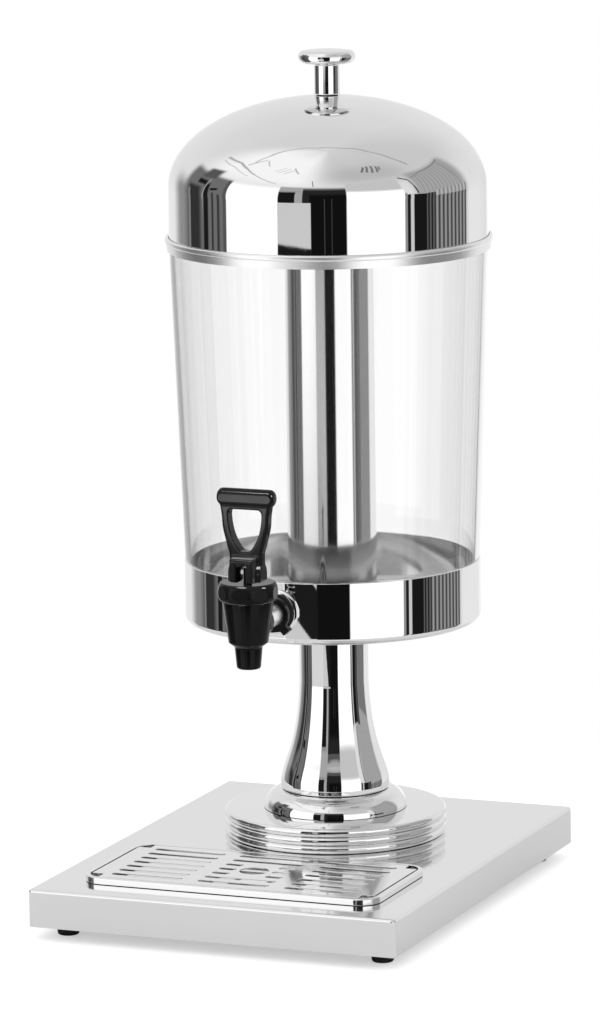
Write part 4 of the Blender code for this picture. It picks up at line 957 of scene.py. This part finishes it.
def tap_body():
    neck_top = BODY_TOP + BODY_NECK_HEIGHT
    outer = (
        [(OUTLET_RADIUS, SPOUT_BOTTOM)]
        + foot_corner(SPOUT_TIP_RADIUS, SPOUT_BOTTOM, SPOUT_ROUNDING)
        + [(SPOUT_TOP_RADIUS, BODY_FOOT - BODY_CHAMFER), (BODY_FOOT_RADIUS, BODY_FOOT)]
        + [(BODY_TOP_RADIUS, BODY_TOP), (BODY_NECK_RADIUS, BODY_TOP), (BODY_NECK_RADIUS, neck_top)]
    )
    inner_neck = BODY_NECK_RADIUS - BODY_WALL
    chamber = [(inner_neck, neck_top), (inner_neck, BODY_TOP)]
    chamber += [(body_taper(BODY_SEAT) - BODY_WALL, BODY_SEAT), (OUTLET_RADIUS, BODY_SEAT)]
    root = body_taper(SHANK_Z) - BODY_WALL / 2
    boss = on_shank(-TAP_BOSS_REACH, -root, TAP_BOSS_RADIUS, SMALL_SIDES)
    port = on_shank(-TAP_BOSS_REACH - OVERRUN, -root)
    body = built("tap_body", turned(outer + chamber), (0, TAP_Y, 0), joins=[boss], cuts=[port])
    dressed(moulded(body), "tap_body", soft=True)


def tap_bonnet():
    low = BONNET_HEIGHT * BONNET_BULGE_SHARE
    high = BONNET_HEIGHT - low
    bulge_z = BONNET_Z + low
    top = BONNET_Z + BONNET_HEIGHT
    lower = BONNET_BULGE_RADIUS - BONNET_FOOT_RADIUS
    upper = BONNET_BULGE_RADIUS - BONNET_TOP_RADIUS
    outer = oval(BONNET_FOOT_RADIUS, bulge_z, lower, low, DOWN, 0)
    outer += oval(BONNET_TOP_RADIUS, bulge_z, upper, high, 0, UP)[1:]
    roof = top - BONNET_ROOF
    profile = [(BONNET_BORE, BONNET_Z)] + outer + [(STEM_HOLE, top), (STEM_HOLE, roof), (BONNET_BORE, roof)]
    corner = (BONNET_BULGE_RADIUS - BONNET_FLAT_INSET) / math.cos(math.pi / BONNET_SIDES)
    start = DOWN + INWARD / BONNET_SIDES
    flats = arc(0, 0, corner, start, start + 2 * INWARD, BONNET_SIDES)[:-1]
    block = turned_by(prism(flats, BONNET_Z - OVERRUN, top + OVERRUN), BONNET_TURN, "Z")
    bonnet = built("tap_bonnet", turned(profile), (0, TAP_Y, 0), keeps=[block])
    dressed(moulded(bonnet, BONNET_SMOOTHING), "tap_bonnet", soft=True)


def cam_outline():
    """The lever pad's side view as (forwards, up) from the pin: the front of its sole is a cam."""
    rest = PIN_ABOVE_BONNET - GAP
    lift = CAM_LIFT_PER_RADIAN
    cam = []
    for step in range(ARC_STEPS + 1):
        a = CAM_SWEEP * step / ARC_STEPS
        reach = rest + lift * a
        cam.append((reach * math.sin(a) + lift * math.cos(a), lift * math.sin(a) - reach * math.cos(a)))
    front = cam[-1][0]
    corner = arc(front - LEVER_CORNER, LEVER_TOP - LEVER_CORNER, LEVER_CORNER, 0, UP)
    return cam + corner + [(0, LEVER_TOP), (0, -rest)]


def hub_outline():
    """The round-topped hub's side view, also as (forwards, up)."""
    sole = HUB_STEP + GAP - PIN_ABOVE_BONNET
    top = arc(0, 0, HUB_RADIUS, 0, INWARD, HUB_STEPS)
    return [(HUB_RADIUS, sole)] + top + [(-HUB_RADIUS, sole)]


def side_prism(outline, half_width):
    """An outline of (forwards, up) points made as wide as the object is across."""
    bm = prism([(up, -forwards) for forwards, up in outline], -half_width, half_width)
    return turned_by(bm, -math.pi / 2, "Y")


def mirrored(half):
    """A closed outline from the points of its right half, which run upwards."""
    return half + [(-x, z) for x, z in half[::-1] if x]


def loop_plate():
    half = LOOP_DEPTH / 2
    edge = curve_through([(LOOP_HALF_WIDTH * x, LOOP_TOP * z) for x, z in LOOP_EDGE_SHARES], LOOP_STEPS)
    plate = prism(mirrored(edge), -half, half)
    for face in (-half, half):
        softened(plate, face, LOOP_EDGE, RIM_STEPS)
    return laid(plate)


def loop_opening():
    rise = LOOP_OPENING_TOP - LOOP_OPENING_BOTTOM
    shares = LOOP_OPENING_SHARES
    points = [(LOOP_OPENING_HALF_WIDTH * x, LOOP_OPENING_BOTTOM + rise * z) for x, z in shares]
    return laid(prism(mirrored(curve_through(points, LOOP_STEPS)), -LOOP_DEPTH, LOOP_DEPTH))


def handle_bar():
    """A round bar along X with rounded ends and a flat face at its front."""
    half = BAR_LENGTH / 2
    end = arc(BAR_RADIUS - BAR_ROUNDING, half - BAR_ROUNDING, BAR_ROUNDING, 0, UP)
    other = arc(BAR_RADIUS - BAR_ROUNDING, BAR_ROUNDING - half, BAR_ROUNDING, DOWN, 0)
    bar = along_x(turned([(0, -half)] + other + end + [(0, half)], SMALL_SIDES))
    bmesh.ops.remove_doubles(bar, verts=bar.verts, dist=MERGE)
    geometry = bar.verts[:] + bar.edges[:] + bar.faces[:]
    cut = bmesh.ops.bisect_plane(
        bar, geom=geometry, plane_co=(0, -BAR_FACE, 0), plane_no=(0, -1, 0), clear_outer=True
    )["geom_cut"]
    bmesh.ops.contextual_create(bar, geom=[e for e in cut if isinstance(e, bmesh.types.BMEdge)])
    return moved(bar, z=BAR_HEIGHT)


def tap_lever():
    reach = HUB_WIDTH
    back = -LEVER_SLOT_BACK
    slot = [(back, -reach), (reach, -reach), (reach, LEVER_SLOT_TOP), (back, LEVER_SLOT_TOP)]
    bore = along_x(disc(PIN_HOLE, -HUB_WIDTH / 2 - OVERRUN, PIN_END, HOLE_SIDES))
    lever = built(
        "tap_lever",
        side_prism(cam_outline(), LEVER_PAD_WIDTH / 2),
        (0, TAP_Y, PIN_Z),
        joins=[side_prism(hub_outline(), HUB_WIDTH / 2), loop_plate(), handle_bar()],
        cuts=[loop_opening(), side_prism(slot, LEVER_SLOT_WIDTH / 2), bore],
    )
    dressed(moulded(lever, LEVER_SMOOTHING), "tap_lever", "tap_lever", soft=True)


def tap_spring():
    """A wire helix coiled about the tap's axis."""
    wire = SPRING_WIRE_RADIUS
    low = SPRING_BOTTOM + wire
    count = SPRING_TURNS * HOLE_SIDES
    bm = bmesh.new()
    rings = []
    for i in range(count + 1):
        turn = math.tau * i / HOLE_SIDES
        middle = low + (SPRING_TOP - wire - low) * i / count
        section = arc(SPRING_RADIUS, middle, wire, 0, 2 * INWARD)[:-1]
        rings.append([bm.verts.new((r * math.cos(turn), r * math.sin(turn), z)) for r, z in section])
    for first, second in zip(rings, rings[1:]):
        for i in range(len(first)):
            bm.faces.new((first[i - 1], first[i], second[i], second[i - 1]))
    bm.faces.new(rings[0])
    bm.faces.new(rings[-1])
    spring = dressed(mesh_object("tap_spring_form", bm, (0, TAP_Y, 0)), "tap_spring", soft=True)
    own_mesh(spring)


def shank_piece(name, shape, cuts=()):
    """A piece round the shank, made standing on Z and laid along it."""
    piece = built(name, moved(laid(shape), z=SHANK_Z), (0, COLUMN_Y, 0), cuts=cuts)
    dressed(piece, name)


def shank_fittings():
    tube = disc(SHANK_RADIUS, SHANK_INNER_REACH, SHANK_OUTER_REACH, SMALL_SIDES, SHANK_BORE)
    shank_piece("tap_shank", tube)
    low = CUP_RADIUS - OVERRUN
    rounding = ESCUTCHEON_ROUNDING
    shoulder = ESCUTCHEON_FRONT - rounding - ESCUTCHEON_SLOPE
    rim = arc(ESCUTCHEON_RADIUS - rounding, shoulder, rounding, 0, UP)
    seat = [(OUTER_SEAL_RADIUS, ESCUTCHEON_FRONT), (SHANK_HOLE, ESCUTCHEON_FRONT)]
    profile = [(SHANK_HOLE, low), (ESCUTCHEON_RADIUS, low)] + rim + seat
    height = 2 * ESCUTCHEON_RADIUS
    cup = disc(CUP_RADIUS + GAP, SHANK_Z - height, SHANK_Z + height, SIDES)
    shank_piece("tap_escutcheon", turned(profile, SMALL_SIDES), [cup])
    seal = disc(OUTER_SEAL_RADIUS, ESCUTCHEON_FRONT + GAP, OUTER_SEAL_FRONT, SMALL_SIDES, SHANK_HOLE)
    shank_piece("tap_outer_seal", seal)
    outer_nut()


def outer_nut():
    """A round nut with two lugs to turn it by."""
    start = OUTER_NUT_START
    end = start + OUTER_NUT_HEIGHT
    ring = on_shank(start, end, OUTER_NUT_RADIUS, SMALL_SIDES)
    lugs = laid(slab(OUTER_NUT_LUG_SPAN, OUTER_NUT_LUG_WIDTH, GAP, start, end, 2))
    turned_by(lugs, -OUTER_NUT_TURN, "Y")
    bore = on_shank(start - OVERRUN, end + OVERRUN)
    nut = built("tap_outer_nut", ring, (0, COLUMN_Y, 0), joins=[moved(lugs, z=SHANK_Z)], cuts=[bore])
    dressed(moulded(nut), "tap_outer_nut", soft=True)


# Drip tray


def drip_pan():
    top = TRAY_HEIGHT
    outer = softened(slab(TRAY_WIDTH, TRAY_DEPTH, TRAY_CORNER, 0, top), top, TRAY_RIM_EDGE)
    hollow = slab(TRAY_INSIDE_WIDTH, TRAY_INSIDE_DEPTH, TRAY_CORNER - TRAY_RIM, TRAY_FLOOR, top + OVERRUN)
    pan = built("drip_pan", outer, (0, TRAY_Y, TRAY_Z), cuts=[hollow])
    dressed(bevelled(pan, GRID_EDGE, TRAY_EDGE_STEPS), "drip_pan", "drip_pan", "tray")


def slot_outline(length):
    end = SLOT_WIDTH / 2
    half = length / 2 - end
    return arc(half, 0, end, DOWN, UP) + arc(-half, 0, end, UP, INWARD + UP)


def slot_places():
    """Each slot's length and middle: three columns of rows, with short rows beside the finger hole."""
    middle_row = (SLOT_ROWS - 1) / 2
    short_x = (SLOT_LENGTH - SHORT_SLOT_LENGTH) / 2
    for row in range(SLOT_ROWS):
        y = (row - middle_row) * SLOT_PITCH
        for side in (-1, 1):
            yield SLOT_LENGTH, side * SLOT_COLUMN_PITCH, y
        if abs(row - middle_row) > SHORT_SLOT_ROWS:
            yield SLOT_LENGTH, 0, y
        else:
            yield SHORT_SLOT_LENGTH, -short_x, y
            yield SHORT_SLOT_LENGTH, short_x, y


def drip_grid():
    width = TRAY_INSIDE_WIDTH - 2 * GRID_PLAY
    depth = TRAY_INSIDE_DEPTH - 2 * GRID_PLAY
    top = TRAY_HEIGHT
    foot = TRAY_FLOOR + GAP
    in_x = width / 2 - GRID_NOTCH
    in_y = depth / 2 - GRID_NOTCH
    outline = []
    for sx, sy in ((1, 1), (-1, 1), (-1, -1), (1, -1)):
        notch = [(sx * width / 2, sy * in_y), (sx * in_x, sy * in_y), (sx * in_x, sy * depth / 2)]
        outline += notch if sx * sy > 0 else notch[::-1]
    sheet = GRID_SHEET
    cuts = [
        slab(w - 2 * sheet, d - 2 * sheet, sheet, foot - OVERRUN, top - sheet)
        for w, d in ((width, 2 * in_y), (2 * in_x, depth))
    ]
    low = top - sheet - OVERRUN / 2
    slots = [moved(prism(slot_outline(length), low, top + OVERRUN), x, y) for length, x, y in slot_places()]
    slots.append(disc(FINGER_HOLE_RADIUS, low, top + OVERRUN, SMALL_SIDES))
    cuts.append(merged(slots))
    grid = built("drip_grid", prism(outline, foot, top), (0, TRAY_Y, TRAY_Z), cuts=cuts)
    dressed(bevelled(grid, GRID_EDGE), "drip_grid", "drip_grid", "tray")


# Studio


def towards(azimuth, elevation):
    """A direction, from the front towards the right and upwards."""
    level = math.cos(elevation)
    return Vector((math.sin(azimuth) * level, -math.cos(azimuth) * level, math.sin(elevation)))


def camera():
    data = bpy.data.cameras.new("camera")
    data.sensor_fit = "VERTICAL"
    data.sensor_height = CAMERA_SENSOR
    data.lens = CAMERA_LENS
    heading = CAMERA_AZIMUTH + CAMERA_PAN
    ahead = -towards(heading, CAMERA_PITCH)
    side = Vector((math.cos(heading), math.sin(heading), 0))
    above = side.cross(ahead)
    across = math.cos(CAMERA_ROLL) * side + math.sin(CAMERA_ROLL) * above
    upright = math.cos(CAMERA_ROLL) * above - math.sin(CAMERA_ROLL) * side
    made = bpy.data.objects.new("camera", data)
    place = Vector((0, COLUMN_Y, CAMERA_HEIGHT)) + towards(CAMERA_AZIMUTH, 0) * CAMERA_DISTANCE
    turn = Matrix((across, upright, -ahead)).transposed().to_4x4()
    made.matrix_world = Matrix.Translation(place) @ turn
    bpy.context.scene.collection.objects.link(made)
    bpy.context.scene.camera = made


def lamp(name, azimuth, elevation, distance, width, watts, height, lit=None):
    """A lamp that faces the tap's bar; it's mirrored only in what it alone lights."""
    data = bpy.data.lights.new(name, "AREA")
    data.shape = "RECTANGLE"
    data.size = width
    data.size_y = height
    data.energy = watts
    made = bpy.data.objects.new(name, data)
    away = towards(math.radians(azimuth), math.radians(elevation))
    made.location = Vector((0, TAP_Y, PIN_Z + BAR_HEIGHT)) + away * distance
    made.rotation_euler = (-away).to_track_quat("-Z", "Y").to_euler()
    made.visible_camera = False
    made.visible_glossy = bool(lit)
    if lit:
        made.light_linking.receiver_collection = lit
    bpy.context.scene.collection.objects.link(made)


def floor_look(tree):
    """A white that glows a little where the camera sees it, also through the vessel."""
    path = tree.nodes.new("ShaderNodeLightPath")
    seen = tree.do("MAXIMUM", path.outputs["Is Camera Ray"], path.outputs["Is Transmission Ray"])
    return {
        "Base Color": tree.blended(tree.noise(FLOOR_GRAIN_SCALE), *FLOOR_SHADES),
        "Roughness": FLOOR_ROUGHNESS,
        "Specular IOR Level": FLOOR_GLOSS,
        "Emission Color": grey(1.0),
        "Emission Strength": tree.do("MULTIPLY", seen, FLOOR_GLOW),
    }


def floor():
    bm = bmesh.new()
    bmesh.ops.create_circle(bm, cap_ends=True, radius=FLOOR_RADIUS, segments=FLOOR_ROUNDING)
    made = mesh_object("floor", bm)
    made.data.materials.append(surface("floor", floor_look))


# What the metal reflects, by azimuth (from the front, towards the right) and elevation in degrees.
# Steel sends back most of a level, and one above WHITE reads as pure white in it.
# The room's level by elevation
ROOM_BY_ELEVATION = ((-90, 0.9), (-12, 0.9), (5, 0.84), (25, 0.82), (45, 0.78), (70, 0.74), (90, 0.76))
# Upright patches, as (left, right, low, high, side softness, end softness, level, slope of their ends)
PATCHES = (
    # Walls and ceiling
    (-92, 14, 28, 84, 18, 14, 1.05, 0),
    (18, 165, 33, 85, 26, 16, 0.66, 0),
    (25, 92, 37, 62, 18, 12, 0.54, 0),
    (88, 139, -40, 40, 5, 3, 0.4, 0),
    (-180, -150, -9, 4, 12, 5, 1.15, 0),
    (165, 190, -9, 4, 10, 5, 0.8, 0),
    # Furniture at the left
    (-118, -96, -40, 8, 8, 8, 0.3, 0),
    (-103, -57, -40, 27, 4, 3, 0.17, 0),
    (-88, -73, 20, 32, 3, 2, 0.1, 0.25),
    (-98, -83, -40, 8, 3, 3, 0.035, 0),
    (-89, -79, 12, 18, 1.5, 1.5, 0.012, 0),
    (-79.5, -74.5, -40, 15, 0.8, 3, 0.012, 0),
    (-73, -66, 5.5, 9, 1, 0.6, 0.012, 0.3),
    (-71, -69, -40, 3, 0.6, 2, 0.04, 0),
    (-65.5, -63, -40, 1, 0.5, 2, 0.05, 0),
    (-60, -56.5, -40, 26, 0.8, 2, 0.1, 0),
    (-98, -95.5, -40, 3, 0.5, 2, 0.24, 0),
    # The broad white lights
    (-56.5, -15, -40, 24, 0.6, 5, SOFTBOX_LEVEL, 0),
    (34.5, 77, 14, 34.5, 0.8, 2.5, 0.62, 0),
    (35, 78, -40, 17.5, 0.5, 3.5, SOFTBOX_LEVEL, -0.08),
    (-56, -15.5, -13.4, -9.8, 0.8, 0.8, 0.76, 0),
    # The dark middle, with a pale card low in front of it
    (-14.8, 34.3, 14, 27, 0.5, 1.5, 0.42, 0),
    (-14.8, 2, 14, 19, 0.5, 1.5, 0.3, 0),
    (-2.3, 3, -40, 18, 0.4, 2, 0.42, 0),
    (-14.8, -2.4, -40, 16.2, 0.4, 0.5, 0.01, 0.06),
    (3, 34.3, -40, 24.4, 0.4, 0.4, 0.1, 0),
    (3, 34.3, -40, 21.4, 0.4, 0.5, 0.02, 0),
    (8, 34.3, -40, 12, 0.8, 3, 0.006, 0),
    (-15.2, 9, -40, -5.8, 0.3, 0.05, 0.66, -0.003),
    (-15.2, 9.8, -7.9, -7.51, 0.3, 0.02, 0.01, -0.0025),
    (-15.2, 9.8, -11, -10, 0.3, 0.03, 0.012, -0.032),
    # Curtains and shelves at the right
    (78, 80, -40, 7, 0.3, 2, 0.3, 0),
    (80, 82.8, -40, 4, 0.3, 1, 0.015, 0),
    (82.8, 85.2, -40, 5, 0.3, 1, 0.66, 0),
    (85.4, 97, -40, 3.4, 0.4, 0.5, 0.01, -0.15),
)
# Folds of cloth: (left, right, low, high, softness, level, pitch, depth of their shade)
FOLDS = (
    (92, 134, 4, 37, 3, 0.4, 3.7, 0.12),
    (104, 138.5, -3.2, 6, 1, 0.4, 4.2, 0.35),
    (104, 138.5, -40, -3.2, 0.8, 0.2, 4.2, 0.8),
    (96.5, 104.5, -40, 2.4, 0.6, 0.07, 3, 0.9),
)
# Thin lines from one direction to another: (azimuth, elevation, azimuth, elevation, half width, level)
LINES = (
    (-95, 45, -75, 49, 0.9, 0.5),
    (-75, 49, -60, 46.5, 0.9, 0.5),
    (-60, 46.5, -45, 41.5, 0.8, 0.55),
    (-45, 41.5, -20, 31.5, 0.6, 0.6),
    (-92, 42, -72, 43, 0.4, 0.6),
    (-72, 43, -50, 38, 0.4, 0.65),
    (-66.5, 50, -63, 62, 1, 0.6),
    (-60, 62, -46, 57, 0.5, 0.62),
    (-33, 52, -26, 60, 0.6, 0.7),
    (-28, 50.5, -20, 59, 0.6, 0.66),
    (-22, 50, -14.5, 57.5, 0.6, 0.62),
    (-17, 61, -7, 52, 0.7, 0.5),
    (55, 53, 63, 61, 1, 0.17),
    (60, 52, 68, 61.5, 1, 0.18),
    (65, 50.5, 73, 61, 1, 0.19),
    (70, 50, 77, 59, 1, 0.2),
    (75, 53, 80, 58, 0.8, 0.22),
    (8.5, 40, 10, 29, 0.4, 0.24),
    (-66.5, 55, -73.6, 64.5, 1, 0.62),
    (-73.6, 64.5, -96.5, 76.8, 1.2, 0.6),
    (-96.5, 76.8, -123.8, 83.6, 1, 0.56),
    (-123.8, 83.6, -180, 84, 0.7, 0.54),
    (180, 84, 153, 82.2, 0.7, 0.5),
    (153, 82.2, 122.5, 73.4, 1, 0.44),
    (122.5, 73.4, 109.7, 60.6, 1.1, 0.4),
    (109.7, 60.6, 107, 49.2, 1, 0.36),
    (80, 36, 86.5, 30, 0.9, 0.08),
    (86.5, 30, 88, 18, 0.6, 0.12),
    (88, 18, 89.5, 4, 0.7, 0.05),
    (90, 32, 103, 37, 0.6, 0.28),
    (103, 37, 135, 39, 0.7, 0.27),
    (130, 37, 130, 24, 0.7, 0.32),
    (130, 24, 133, 6, 0.7, 0.32),
    (-77, 21, -81, -7, 0.5, 0.4),
    (18.8, 3, 18.8, -7.75, 0.3, 0.06),
    (24, 3, 24, -7.75, 0.3, 0.05),
)


def reflected_room(tree, azimuth, elevation):
    level = ROOM_BY_ELEVATION[0][1]
    for (last, value), (height, following) in zip(ROOM_BY_ELEVATION, ROOM_BY_ELEVATION[1:]):
        rise = tree.step(elevation, (last + height) / 2, (height - last) / 2, 0, following - value)
        level = tree.do("ADD", level, rise)
    room = tree.light(level)
    for left, right, low, high, side, end, value, slope in PATCHES:
        height = elevation
        if slope:
            height = tree.do("SUBTRACT", elevation, tree.do("MULTIPLY_ADD", azimuth, slope, -slope * left))
        outside = tree.outside(azimuth, left, right, side, height, low, high, end)
        room = tree.choice(outside, tree.light(value), room)
    for left, right, low, high, soft, value, pitch, depth in FOLDS:
        wave = tree.do("SINE", tree.do("MULTIPLY", azimuth, math.tau / pitch))
        shade = tree.do("MULTIPLY_ADD", wave, value * depth, value)
        outside = tree.outside(azimuth, left, right, soft, elevation, low, high, soft)
        room = tree.choice(outside, tree.light(shade), room)
    for start, low, stop, high, half_width, value in LINES:
        run = Vector((stop - start, high - low))
        length = run.length
        run.normalize()
        along = tree.do("MULTIPLY_ADD", azimuth, run.x, -run.x * start - run.y * low)
        along = tree.do("MULTIPLY_ADD", elevation, run.y, along)
        across = tree.do("MULTIPLY_ADD", azimuth, run.y, run.x * low - run.y * start)
        across = tree.do("MULTIPLY_ADD", elevation, -run.x, across)
        edge = half_width / 2
        outside = tree.outside(along, 0, length, edge, across, -half_width, half_width, edge)
        room = tree.choice(outside, tree.light(value), room)
    return room


def world():
    """White where the camera looks, an even level for plain surfaces, and the room for the metal."""
    made = bpy.data.worlds.new("studio")
    bpy.context.scene.world = made
    tree = Tree(made)
    tree.nodes.remove(tree.nodes["Background"])
    split = tree.nodes.new("ShaderNodeSeparateXYZ")
    tree.feed(split, {"Vector": tree.add("TexCoord", "Generated", {})})
    x, y, z = split.outputs
    azimuth = tree.do("DEGREES", tree.do("ARCTAN2", x, tree.do("MULTIPLY", y, -1)))
    elevation = tree.do("DEGREES", tree.do("ARCSINE", z))
    path = tree.nodes.new("ShaderNodeLightPath")
    glossy = tree.do("GREATER_THAN", path.outputs["Glossy Depth"], BOUNCED)
    diffuse = tree.do("GREATER_THAN", path.outputs["Diffuse Depth"], BOUNCED)
    seen = tree.choice(glossy, tree.light(WHITE), reflected_room(tree, azimuth, elevation))
    lit = tree.choice(diffuse, seen, tree.light(ROOM_LEVEL))
    tree.links.new(lit, tree.nodes["World Output"].inputs["Surface"])


# Everything together

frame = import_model()
SLOTS = {item["node"]: item["material_slot"] for item in frame["record"]["subparts"]}
LOOKS = materials()


def main():
    bpy.context.scene.view_settings.view_transform = "Standard"
    for name, node in frame["nodes"].items():
        node.data.materials.clear()
        node.data.materials.append(own(SLOTS[name], f"{name}_plain"))
    camera()
    world()
    floor()
    for setting in LAMPS:
        lamp(*setting)
    base_pan()
    feet()
    plinth_disc()
    column_foot()
    column_tube()
    base_cup()
    vessel()
    ice_tube()
    lid_dome()
    lid_rim()
    lid_knob()
    lid_knob_seal()
    tap_body()
    tap_bonnet()
    tap_lever()
    tap_spring()
    shank_fittings()
    for name in TAP_PLASTICS:
        bpy.data.objects[f"{name}_form"].visible_glossy = False
    for *setting, names in TAP_LAMPS:
        lit = bpy.data.collections.new(setting[0])
        for name in names:
            lit.objects.link(bpy.data.objects[f"{name}_form"])
        lamp(*setting, lit)
    drip_pan()
    drip_grid()


main()
